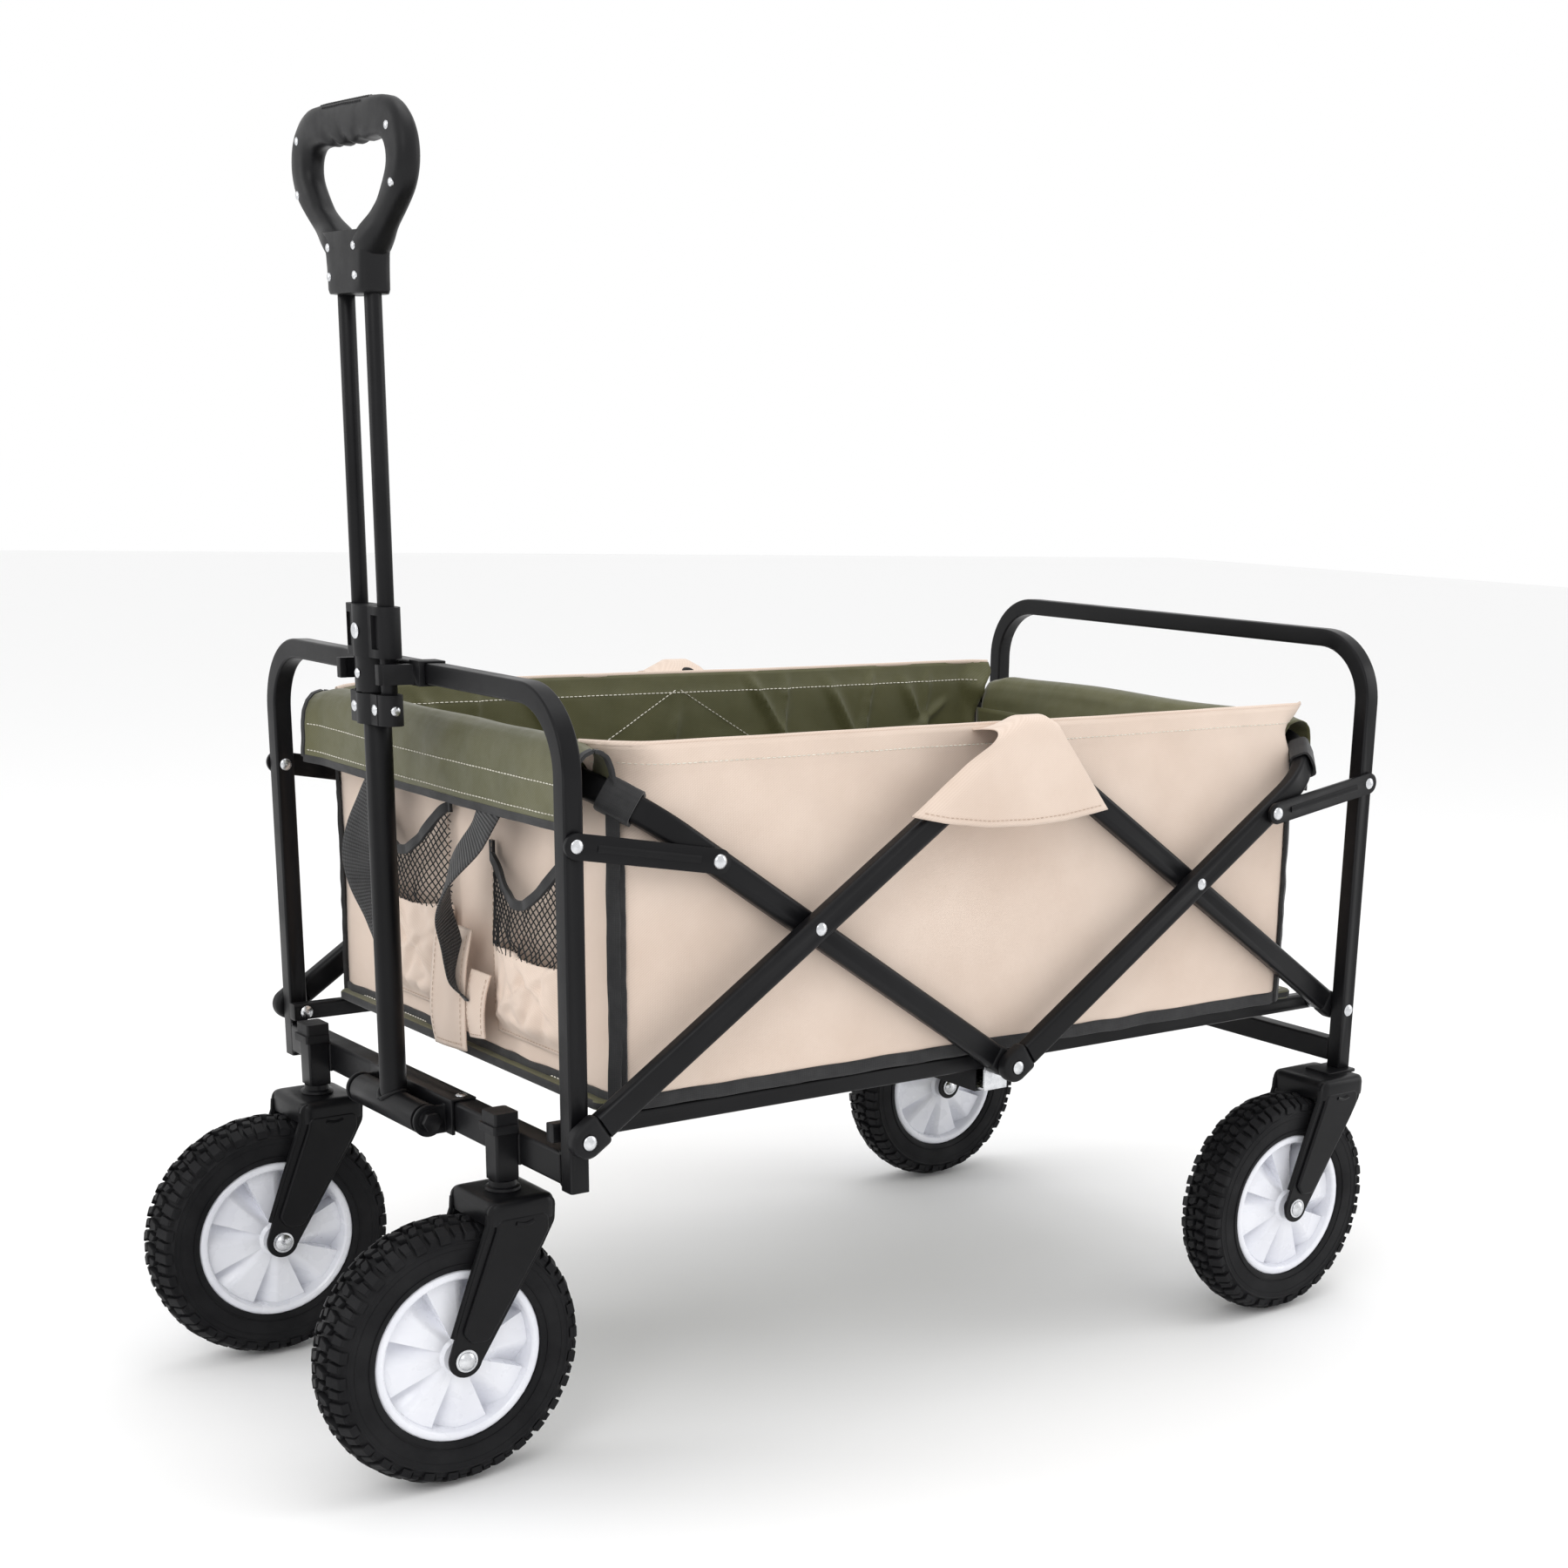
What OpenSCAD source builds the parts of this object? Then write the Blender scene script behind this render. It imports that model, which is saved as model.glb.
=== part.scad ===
// Folding utility wagon: twin scissor frame, telescoping handle, two swivel casters in front,
// two fixed wheels behind, and a cloth tub. Millimetres, Z up, front (handle end) at -X.

/* [Frame] */
// centre of the front legs along the length
front_x = -318.5; // [-340:0.5:-300]
// distance between front and rear legs
wheelbase_legs = 776; // [700:1:820]
// height of the lower arm pivots
pivot_z = 268; // [250:1:290]
// slope of the scissor arms when open
arm_angle = 34; // [30:0.5:40]
// square tube of the hoops
hoop_tube = 15; // [12:0.5:20]
// height of the front hoop
front_hoop_top = 576; // [540:1:620]
// height of the rear hoop
rear_hoop_top = 600; // [560:1:640]
// outside radius of the hoop corners
hoop_radius = 60; // [40:1:90]

/* [Arms] */
// width of the arm tube
arm_w = 20; // [16:0.5:26]
// thickness of the arm tube
arm_t = 13; // [10:0.5:16]
// centre radius of the arm tube bends
arm_bend = 70; // [50:1:100]
// pivot pin radius
pin_r = 3; // [2:0.1:4]
// running clearance on the pivot pins
pin_gap = 0.08; // [0.03:0.01:0.1]

/* [Wheels] */
// wheel radius
wheel_r = 100; // [90:1:110]
// tyre width
tyre_w = 44; // [36:1:60]
// radius of the hub inside the tyre
hub_r = 65; // [55:1:75]
// half track of the front casters
front_track = 158; // [140:1:180]
// half track of the rear wheels
rear_track = 248.5; // [240:0.5:260]
// how far the wheel axle sits ahead of the fork stem
trail = 48; // [30:1:60]

/* [Handle] */
// diameter of the thick handle tube
tube_d = 20; // [16:0.5:24]
// diameter of the two thin rods
rod_d = 12; // [10:0.5:14]
// distance between the two rods
rod_pitch = 42; // [36:0.5:50]
// height of the top of the grip
grip_top = 948; // [900:1:1000]

/* [Hidden] */
$fn = 64;
th = arm_angle;
XF = front_x;
XR = front_x + wheelbase_legs;
XC = front_x + wheelbase_legs/2;
q = wheelbase_legs/4;
a = q/cos(th);
zA = pivot_z;
zX = zA + q*tan(th);
zT = zA + 2*q*tan(th);
y_in = 233.5;      // centre of the inner arm layer
y_out = 247.5;     // centre of the outer arm layer
y_fleg = 232.5;    // centre of the front legs
y_rleg = 248.5;    // centre of the rear legs
dA = 197;          // cross tube distance from the crossing, front
dB = 190;          // cross tube distance from the crossing, rear
z_link = 472;      // link pivots on the legs
c_link = 97;       // link pivots on the arms, from the crossing
swivel_x = XF - 17;
hub_fx = swivel_x - trail;
hub_rx = XR - 74;
stem_rx = hub_rx + trail;
hx = XF - 24;      // handle hinge
hz = 241;

steel = [0.09,0.09,0.10];
plast = [0.13,0.13,0.14];
zinc = [0.78,0.78,0.80];
beige = [0.86,0.78,0.70];
olive = [0.30,0.34,0.20];
white = [0.93,0.93,0.95];
rubber = [0.05,0.05,0.055];

// rounded rectangle, w along x, h along y
module rr(w, h, r) {
  square([w - 2*r, h], center = true);
  square([w, h - 2*r], center = true);
  for (i = [-1,1], j = [-1,1]) translate([i*(w/2 - r), j*(h/2 - r)]) circle(r);
}
// bar along +x from x0 to x1: t across y, w across z
module bar(x0, x1, t, w, r) translate([x0,0,0]) rotate([90,0,90]) linear_extrude(x1 - x0) rr(t, w, r);
module cyl_y(y0, y1, r) translate([0,y0,0]) rotate([-90,0,0]) cylinder(r = r, h = y1 - y0);
module dome(r, h) { rr_ = (r*r + h*h)/(2*h); rotate_extrude() intersection() { translate([0, h - rr_]) circle(rr_); translate([0,0]) square([r, h]); } }
// pin along y with domed heads
module pin(y0, y1, r, hr = 5.5, hh = 2) {
  cyl_y(y0, y1, r);
  translate([0,y1,0]) rotate([-90,0,0]) dome(hr, hh);
  translate([0,y0,0]) rotate([90,0,0]) dome(hr, hh);
}

// inverted U: y half width at tube centre, from z0 up to ztop
module hoop(x, yc, z0, ztop) {
  t = hoop_tube; R = hoop_radius - t/2;
  for (s = [-1,1]) {
    translate([x, s*yc, z0]) linear_extrude(ztop - hoop_radius - z0) rr(t, t, 2);
    translate([x, s*(yc - R), ztop - hoop_radius]) rotate([90,0,s > 0 ? 90 : -90]) rotate_extrude(angle = 90) translate([R, 0]) rr(t, t, 2);
  }
  translate([x, -(yc - R), ztop - t/2]) rotate([-90,0,0]) linear_extrude(2*(yc - R)) rr(t, t, 2);
}
module front_hoop() color(steel) difference() {
  hoop(XF, y_fleg, 228, front_hoop_top);
  for (s = [-1,1]) {
    translate([XF, s*y_fleg, zA]) cyl_y(-12, 12, pin_r);
    translate([XF, s*y_fleg, z_link]) cyl_y(-12, 12, pin_r);
  }
}
module front_crossmember() color(steel)
  translate([XF + 2, -225, 243.5]) rotate([-90,0,0]) linear_extrude(450) difference() { rr(20, 24, 3); rr(16.4, 20.4, 1.5); }
module caster_posts() color(steel) for (s = [-1,1]) translate([swivel_x, s*front_track, 0]) {
  difference() { translate([0,0,221]) linear_extrude(42) rr(18, 18, 2); translate([0,0,219]) cylinder(r = 5.6, h = 40); }
}
module post_caps() color(plast) for (s = [-1,1]) translate([swivel_x - 0.6, s*front_track, 0]) {
  translate([0,0,263]) linear_extrude(9) rr(19, 21, 2);
  translate([0,0,257]) linear_extrude(6) difference() { translate([-1.2,0]) rr(20.4, 24, 2); translate([5.3,0]) square([27.9, 18.2], center = true); }
}
module handle_bracket() color(steel) translate([XF,0,0]) difference() {
  union() {
    translate([-11,-69,230]) cube([3, 138, 27.5]);
    translate([-8,-69,255.5]) cube([18, 138, 2]);
    for (s = [-1,1]) translate([0, s*57.2, hz]) {
      cyl_y2(3, 12.5);
      translate([-24,-1.5,-11]) cube([13.5, 3, 22]);
    }
  }
  for (s = [-1,1]) translate([-24, s*57.2, hz]) cyl_y(-3, 3, 5);
  for (s = [-1,1]) translate([2, s*60, 250]) cylinder(r = 2.5, h = 20);
}
module cyl_y2(t, r) translate([-24,-t/2,0]) rotate([-90,0,0]) cylinder(r = r, h = t);
module handle_bolt() color(steel) translate([hx, 0, hz]) {
  cyl_y(-58.7, 58.7, 5);
  translate([0,-58.7,0]) rotate([90,0,0]) { cylinder(r = 9, h = 1.2); translate([0,0,1.2]) cylinder(r = 7.5, h = 5, $fn = 6); }
  translate([0,58.7,0]) rotate([-90,0,0]) { cylinder(r = 9, h = 1.2); translate([0,0,1.2]) cylinder(r = 7.5, h = 5, $fn = 6); }
  for (s = [-1,1]) translate([26, s*60, 255.5 - hz]) { cylinder(r = 2.5, h = 2); translate([0,0,2]) dome(4.5, 1.8); }
}
module handle_clip() color(plast) difference() {
  union() for (s = [-1,1]) {
    translate([XF - 12, s > 0 ? 29.5 : -45.5, 559.5]) cube([20.8, 16, 17.9]);
    translate([XF - 35, s > 0 ? 29.5 : -35.5, 560]) cube([24, 6, 14.5]);
    translate([XF - 38, s > 0 ? 28.6 : -34.6, 560]) cube([5, 6, 14.5]);
  }
  translate([XF - 7.5, -60, 561]) cube([15, 120, 15]);
}
module front_pivot_pins() color(zinc) for (s = [-1,1]) translate([XF, 0, zA]) mirror([0, s < 0 ? 1 : 0, 0]) pin(209.5, 254.2, pin_r);
module front_link_pins() color(zinc) for (s = [-1,1]) translate([XF, 0, z_link]) mirror([0, s < 0 ? 1 : 0, 0]) pin(225, 243.6, pin_r, 5, 1.8);

// arm end cap around a pivot at the local origin, tube towards +x
module cap(r, L, hole) difference() {
  union() { cyl_y(-arm_t/2, arm_t/2, r); translate([0, -arm_t/2, -r]) cube([L, arm_t, 2*r]); }
  cyl_y(-10, 10, hole);
}
module at_a1(s) translate([XF, s*y_out, zA]) rotate([0,-th,0]) children();
module at_b2(s) translate([XC, s*y_in, zT]) rotate([0,th,0]) children();
module arm_a1() color(steel) for (s = [-1,1]) at_a1(s) difference() {
  bar(16, 2*a - 14, arm_t, arm_w, 4);
  translate([a,0,0]) cyl_y(-10, 10, pin_r);
}
module arm_a1_caps() color(plast) for (s = [-1,1]) at_a1(s) { cap(12.5, 16, pin_r + pin_gap); translate([2*a,0,0]) rotate([0,180,0]) cap(10, 14, pin_r); }
module arm_a1_pins() color(zinc) for (s = [-1,1]) mirror([0, s < 0 ? 1 : 0, 0]) {
  translate([XF + q, 0, zX]) pin(226.8, 254, pin_r, 5, 1.8);
  translate([XC, 0, zT]) pin(226.8, 254, pin_r, 5, 1.8);
}
module arm_b2() color(steel) for (s = [-1,1]) at_b2(s) difference() {
  bar(14, 2*a - 14, arm_t, arm_w, 4);
  translate([a,0,0]) cyl_y(-10, 10, pin_r + pin_gap);
}
module arm_b2_caps() color(plast) for (s = [-1,1]) at_b2(s) { cap(10, 14, pin_r + pin_gap); translate([2*a,0,0]) rotate([0,180,0]) cap(10.5, 14, pin_r + pin_gap); }
// U tube: arms along local x from x0 to the bend, cross tube centre at x = L, arms at y = +-yc
module utube(x0, L, yc) {
  R = arm_bend;
  for (s = [-1,1]) {
    translate([0, s*yc, 0]) bar(x0, L - R, arm_t, arm_w, 4);
    translate([L - R, s*(yc - R), 0]) rotate([0,0, s > 0 ? 0 : -90]) rotate_extrude(angle = 90) translate([R, 0]) rr(arm_t, arm_w, 4);
  }
  translate([L, -(yc - R), 0]) rotate([-90,0,0]) linear_extrude(2*(yc - R)) rr(arm_t, arm_w, 4);
}
module arm_a2() color(steel) translate([XC, 0, zA]) rotate([0, th - 180, 0]) mirror([0,0,1]) difference() {
  utube(14, a + dA, y_in);
  for (s = [-1,1]) translate([a, s*y_in, 0]) cyl_y(-10, 10, pin_r + pin_gap);
}
module arm_a2_caps() color(plast) for (s = [-1,1]) translate([XC, s*y_in, zA]) rotate([0, th - 180, 0]) cap(10.5, 14, pin_r);
module arm_b1() color(steel) translate([XC, 0, zA]) rotate([0, -th, 0]) difference() {
  utube(16, a + dB, y_out);
  for (s = [-1,1]) translate([a, s*y_out, 0]) cyl_y(-10, 10, pin_r);
}
module arm_b1_caps() color(plast) for (s = [-1,1]) translate([XC, s*y_out, zA]) rotate([0, -th, 0]) cap(12.5, 16, pin_r + pin_gap);
module arm_b1_pins() color(zinc) for (s = [-1,1]) translate([XC + q, 0, zX]) mirror([0, s < 0 ? 1 : 0, 0]) pin(226.8, 254, pin_r, 5, 1.8);
module centre_pins() color(zinc) for (s = [-1,1]) translate([XC, 0, zA]) mirror([0, s < 0 ? 1 : 0, 0]) pin(224.2, 254.2, pin_r, 5.5, 2);

module rear_hoop() color(steel) difference() {
  hoop(XR, y_rleg, 215, rear_hoop_top);
  for (s = [-1,1]) {
    translate([XR, s*y_rleg, zA]) cyl_y(-12, 12, pin_r);
    translate([XR, s*y_rleg, z_link]) cyl_y(-12, 12, pin_r);
  }
}
module rear_crossmember() color(steel)
  translate([XR, -241, 230]) rotate([-90,0,0]) linear_extrude(482) difference() { rr(15, 20, 2); rr(12, 17, 1); }
module rear_pivot_pins() color(zinc) for (s = [-1,1]) translate([XR, 0, zA]) mirror([0, s < 0 ? 1 : 0, 0]) { pin(197.2, 256, pin_r); difference() { cyl_y(209.4, 226.6, 5.5); cyl_y(208, 228, pin_r); } }
module rear_link_pins() color(zinc) for (s = [-1,1]) translate([XR, 0, z_link]) mirror([0, s < 0 ? 1 : 0, 0]) pin(241, 259.6, pin_r, 5, 1.8);

// fork: stem axis at local origin, wheel axle at [-trail, 0, wheel_r]; inside half width
fork_in = 26; fork_t = 3;
module fork_leg() rotate([90,0,0]) translate([0,0,-fork_t/2]) linear_extrude(fork_t) {
  translate([-trail, wheel_r]) circle(13);
  polygon([[-24,207],[24,207],[24,190],[-trail + 12.6, wheel_r - 3.2],[-trail - 12.4, wheel_r + 4]]);
}
module fork(rear) difference() {
  union() {
    for (s = [-1,1]) translate([0, s*(fork_in + fork_t/2), 0]) fork_leg();
    translate([-24, -fork_in - fork_t, 207]) cube([rear ? 60 : 48, 2*(fork_in + fork_t), 3.5]);
  }
  translate([-trail, 0, wheel_r]) cyl_y(-40, 40, 5);
}
module rear_forks() color(steel) for (s = [-1,1]) translate([stem_rx, s*rear_track, 0]) {
  fork(true);
  translate([0,0,210.5]) linear_extrude(4.5) translate([16,0]) rr(34, 30, 2);
}
module axle() {
  cyl_y(-31, 31, 5);
  for (s = [-1,1]) mirror([0, s < 0 ? 1 : 0, 0]) { translate([0,29,0]) rotate([-90,0,0]) { difference() { cylinder(r = 8.5, h = 1.5); translate([0,0,-1]) cylinder(r = 5, h = 4); } }
    translate([0,31,0]) rotate([-90,0,0]) dome(7, 3.2);
    difference() { cyl_y(22.5, 25.8, 8); cyl_y(20, 30, 5); } }
}
module rear_axles() color(zinc) for (s = [-1,1]) translate([hub_rx, s*rear_track, wheel_r]) axle();
module caster_fork(s) color(steel) translate([swivel_x, s*front_track, 0]) {
  fork(false);
  translate([0,0,210.5]) cylinder(r = 13, h = 4.5);
  translate([0,0,215]) cylinder(r = 5.5, h = 30);
  translate([0,0,215]) difference() { cylinder(r = 9, h = 5.6); translate([0,0,-1]) cylinder(r = 5.5, h = 8); }
}
module caster_fork_left() caster_fork(1);
module caster_fork_right() caster_fork(-1);
module caster_axle_left() color(zinc) translate([hub_fx, front_track, wheel_r]) axle();
module caster_axle_right() color(zinc) translate([hub_fx, -front_track, wheel_r]) axle();

module tyre() color(rubber) rotate([90,0,0]) rotate_extrude() {
  h = tyre_w/2;
  translate([hub_r, -h + 4]) square([wheel_r - 9 - hub_r, tyre_w - 8]);
  translate([hub_r + 3, -h + 2]) square([wheel_r - 12 - hub_r, tyre_w - 4]);
  intersection() { translate([wheel_r - 40, 0]) circle(40); translate([hub_r + 10, -h]) square([50, tyre_w]); }
}
module hub() color(white) rotate([90,0,0]) difference() {
  union() {
    rotate_extrude() {
      translate([hub_r - 5, -18]) square([5, 36]);
      translate([8, -9]) square([hub_r - 8.5, 18]);
      translate([5.08, -22]) square([13, 44]);
    }
  }
  for (s = [-1,1], i = [0:7]) rotate([0,0,i*45]) translate([0,0,s*9]) rotate([0,0,6]) translate([24,0,-1.6]) intersection() { linear_extrude(3.2) polygon([[0,0],[34,0],[30,17],[2,12]]); }
}
module wheel_at(x, y) translate([x, y, wheel_r]) children();
module tyre_front_left() wheel_at(hub_fx, front_track) tyre();
module hub_front_left() wheel_at(hub_fx, front_track) hub();
module tyre_front_right() wheel_at(hub_fx, -front_track) tyre();
module hub_front_right() wheel_at(hub_fx, -front_track) hub();
module tyre_rear_left() wheel_at(hub_rx, rear_track) tyre();
module hub_rear_left() wheel_at(hub_rx, rear_track) hub();
module tyre_rear_right() wheel_at(hub_rx, -rear_track) tyre();
module hub_rear_right() wheel_at(hub_rx, -rear_track) hub();

module handle_tube() color(steel) translate([hx, 0, 0]) difference() {
  union() {
    translate([0,0,hz]) cyl_y(-52, 52, 12);
    translate([0,0,hz]) cylinder(d = tube_d, h = 605 - hz);
  }
  translate([0,0,hz]) cyl_y(-60, 60, 5 + pin_gap);
}
module handle_upper_collar() color(plast) translate([hx, 0, 0]) difference() {
  union() {
    translate([0,0,578]) linear_extrude(36) { circle(15); square([20, rod_pitch], center = true); for (s = [-1,1]) translate([0, s*rod_pitch/2]) circle(10); }
    translate([0,0,553]) cylinder(r = 14, h = 25);
  }
  translate([0,0,500]) cylinder(d = tube_d, h = 105);
  for (s = [-1,1]) translate([0, s*rod_pitch/2, 540]) cylinder(d = rod_d + 0.2, h = 90);
  for (s = [-1,1]) translate([-11, s*rod_pitch/2 - 4.5, 584]) cube([4, 9, 24]);
}
module handle_rods() color(steel) for (s = [-1,1]) translate([hx, s*rod_pitch/2, 532]) cylinder(d = rod_d, h = 308);
module handle_lower_collar() color(plast) translate([hx, 0, 0]) difference() {
  translate([0,0,530]) linear_extrude(22) { circle(14.5); square([20, rod_pitch], center = true); for (s = [-1,1]) translate([0, s*rod_pitch/2]) circle(9.5); }
  translate([0,0,520]) cylinder(d = tube_d + 0.2, h = 40);
  for (s = [-1,1]) translate([0, s*rod_pitch/2, 532]) cylinder(d = rod_d, h = 40);
}
// grip outline: y across, z up
module grip_outer() { hull() { translate([-50,-38]) circle(35); translate([50,-38]) circle(35); translate([-40,-28]) circle(28); translate([40,-28]) circle(28); translate([-24,-82]) circle(16); translate([24,-82]) circle(16); } translate([-29,-124]) square([58, 46]); }
module grip_hole() hull() { for (s = [-1,1]) { translate([s*42,-39]) circle(15.5); translate([s*8,-72]) circle(9); } }
module handle_grip() color(plast) translate([hx, 0, grip_top]) difference() {
  union() {
    rotate([90,0,90]) translate([0,0,-13]) linear_extrude(26) difference() { grip_outer(); grip_hole(); }
  }
  for (s = [-1,1]) translate([0, s*rod_pitch/2, -140]) cylinder(d = rod_d, h = 32);
}
module grip_screws() color(zinc) translate([hx - 13, 0, grip_top]) for (p = [[-70,-22],[70,-22],[-74,-58],[74,-58],[-21,-96],[21,-96],[-21,-114],[21,-114]])
  translate([0, p[0], p[1]]) rotate([0,-90,0]) dome(3, 1);

// the middle cross channel under the floor, hung on the lower centre pivots
module centre_channel() color(steel) translate([XC, 0, 0]) difference() {
  translate([-14, -217, 242]) cube([28, 434, 18]);
  translate([-12, -220, 244]) cube([24, 440, 20]);
}
module centre_brackets() color(zinc) for (s = [-1,1]) mirror([0, s < 0 ? 1 : 0, 0]) translate([XC, 0, 0]) difference() {
  union() { translate([-11.8, 190, 244.2]) cube([23.6, 36.3, 2]); translate([-11.8, 224.3, 244.2]) cube([23.6, 2, 20]); translate([0,0,zA]) cyl_y(224.3, 226.3, 11.8); }
  translate([0,0,zA]) cyl_y(220, 230, pin_r + pin_gap);
}
module floor_strip() color(olive) translate([XC - 36, -198, 276.2]) cube([72, 396, 7.5]);

// flat link with rounded ends, from local origin to [L,0], plate thickness t, pivot height h at the arm end
module link(L, t, boss) difference() {
  union() {
    rotate([90,0,0]) translate([0,0,-t/2]) linear_extrude(t) { circle(9); translate([L,0]) circle(9); translate([0,-9]) square([L, 18]); }
    translate([L,0,0]) rotate([-90,0,0]) translate([0,0,t/2]) dome(5, 1.8);
    if (boss > 0) translate([L,0,0]) rotate([90,0,0]) translate([0,0,t/2]) cylinder(r = 6, h = boss);
  }
  cyl_y(-10, 10, pin_r + pin_gap);
}
module front_links() color(steel) for (s = [-1,1]) mirror([0, s < 0 ? 1 : 0, 0]) translate([XF, 242, z_link]) rotate([0, 9.45, 0]) link(115.15, 3, 0);
module rear_links() color(steel) for (s = [-1,1]) mirror([0, s < 0 ? 1 : 0, 0]) translate([XR, 258, z_link]) rotate([0, 180 - 9.45, 0]) link(115.15, 3, 1.8);

// floor frames: rails and slats, x0 = leg, dir = +1 front, -1 rear
module floor_frame(yc, rail_end, pinr) {
  for (s = [-1,1]) translate([0, s*yc, 0]) difference() { bar(-10, rail_end, 10, 14, 2); cyl_y(-10, 10, pinr); }
  for (x = [64, 196, 318]) translate([x - 9, -(yc - 5), -4]) cube([18, 2*(yc - 5), 9]);
}
module floor_frame_front() color(steel) translate([XF, 0, zA]) floor_frame(216, 392, pin_r + pin_gap);
module floor_frame_rear() color(steel) translate([XR, 0, zA]) mirror([1,0,0]) floor_frame(204, 392, pin_r + pin_gap);
// boards step in near the middle, to clear the other half's rails as the floor folds
module board(w, w2) linear_extrude(7.5) { translate([30, -w]) square([284, 2*w]); translate([300, -w2]) square([40, 2*w2]); }
module floor_board_front() color(olive) translate([XF, 0, zA + 8.2]) board(216, 196);
module floor_board_rear() color(olive) translate([XR, 0, zA + 8.2]) mirror([1,0,0]) board(216, 208);

// cloth, as plain closed solids
fzh = zX + dA*sin(th); fxh = (a - dA)*cos(th);
rzh = zX + dB*sin(th); rxh = (a - dB)*cos(th);
module front_panel() color(olive) translate([XF + fxh, 0, fzh]) difference() {
  translate([0, 220, 0]) rotate([90,0,0]) linear_extrude(440)
    polygon([[-14.2,-78],[-12.5,-78],[-12.5,12.5],[12.5,12.5],[12.5,-223],[15.5,-223],[15.5,15],[-14.2,15]]);
  // openings where the arm tube bends come through
  for (s = [-1,1]) translate([12.4, s > 0 ? 174 : -221, -46]) cube([3.6, 47, 58.5]);
}
module rear_panel() color(olive) translate([XR - rxh, 0, rzh]) difference() {
  translate([0, 220, 0]) rotate([90,0,0]) linear_extrude(440)
    polygon([[14.2,-40],[12.5,-40],[12.5,12.5],[-12.5,12.5],[-12.5,-20],[-19.5,-30],[-19.5,-219],[-22.5,-219],[-22.5,-12],[-15.5,15],[14.2,15]]);
  for (s = [-1,1]) translate([-23, s > 0 ? 186 : -221, -46]) cube([10.6, 35, 58.4]);
}
// side walls, cut away at the top corners round the arm tube bends
module side_panels() color(beige) for (s = [-1,1]) translate([0, s > 0 ? 223.2 : -220.6, 0]) rotate([90,0,0]) linear_extrude(2.6)
  polygon([[XF + fxh + 16.5, 286],[XR - rxh - 23.5, 286],[XR - rxh - 23.5, rzh - 46],[XR - rxh - 36, rzh - 46],[XR - rxh - 36, 534],[XF + fxh + 52, 534],[XF + fxh + 52, 462],[XF + fxh + 16.5, 462]]);
module flaps() color(beige) for (s = [-1,1]) mirror([0, s < 0 ? 1 : 0, 0]) translate([XC, 0, 0]) {
  translate([0,260,0]) rotate([90,0,0]) linear_extrude(2) polygon([[-108,478],[-60,466],[0,462],[60,466],[84,474],[20,545],[-20,545]]);
  translate([-20,224.2,543]) cube([40, 33.8, 2]);
}
module pockets() color(beige) for (y = [-176, 14]) translate([XF + 27, y, 300]) difference() {
  cube([15, 118, 150]);
  translate([1.8, 2, 2.5]) cube([11.4, 114, 160]);
}
module pull_straps() color(plast) for (y = [-98, 78]) translate([XF + 22.5, y, 330]) cube([4, 38, 120]);

front_hoop();
front_crossmember();
caster_posts();
post_caps();
handle_bracket();
handle_clip();
handle_bolt();
front_pivot_pins();
front_link_pins();
arm_a1();
arm_a1_caps();
arm_a1_pins();
arm_a2();
arm_a2_caps();
arm_b2();
arm_b2_caps();
arm_b1();
arm_b1_caps();
arm_b1_pins();
centre_pins();
rear_hoop();
rear_crossmember();
rear_forks();
rear_pivot_pins();
rear_axles();
rear_link_pins();
caster_fork_left();
caster_fork_right();
caster_axle_left();
caster_axle_right();
tyre_front_left();
hub_front_left();
tyre_front_right();
hub_front_right();
tyre_rear_left();
hub_rear_left();
tyre_rear_right();
hub_rear_right();
handle_tube();
handle_upper_collar();
handle_rods();
handle_lower_collar();
handle_grip();
grip_screws();
centre_channel();
centre_brackets();
floor_strip();
front_links();
rear_links();
floor_frame_front();
floor_frame_rear();
floor_board_front();
floor_board_rear();
front_panel();
rear_panel();
side_panels();
flaps();
pockets();
pull_straps();
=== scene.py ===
import math
import bpy
from mathutils import Matrix, Vector, noise


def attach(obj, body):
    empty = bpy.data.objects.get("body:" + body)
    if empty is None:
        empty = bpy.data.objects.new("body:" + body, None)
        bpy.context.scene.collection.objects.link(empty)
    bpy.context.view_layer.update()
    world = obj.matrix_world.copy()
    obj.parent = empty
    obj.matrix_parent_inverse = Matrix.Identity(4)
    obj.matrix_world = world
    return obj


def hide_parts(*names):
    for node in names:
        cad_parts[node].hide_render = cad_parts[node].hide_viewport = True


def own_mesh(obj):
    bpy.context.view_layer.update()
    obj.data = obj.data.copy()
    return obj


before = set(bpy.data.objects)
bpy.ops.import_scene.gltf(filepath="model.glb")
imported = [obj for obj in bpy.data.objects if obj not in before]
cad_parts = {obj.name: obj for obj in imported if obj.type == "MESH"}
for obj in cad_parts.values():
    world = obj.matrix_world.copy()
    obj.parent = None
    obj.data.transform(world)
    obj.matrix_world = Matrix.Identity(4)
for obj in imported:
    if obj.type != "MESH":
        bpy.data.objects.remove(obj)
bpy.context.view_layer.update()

XF, XR, XC = -0.3185, 0.4575, 0.0695
TH = math.radians(34)
HFX, HFZ = XF + 0.03068, 0.50901
HRX, HRZ = XR - 0.03648, 0.50510
sin, cos, pi = math.sin, math.cos, math.pi


def smooth(t):
    t = min(1.0, max(0.0, t))
    return t * t * (3 - 2 * t)


def nz(x, y, z=0.0):
    return noise.noise(Vector((x, y, z)))


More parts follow.
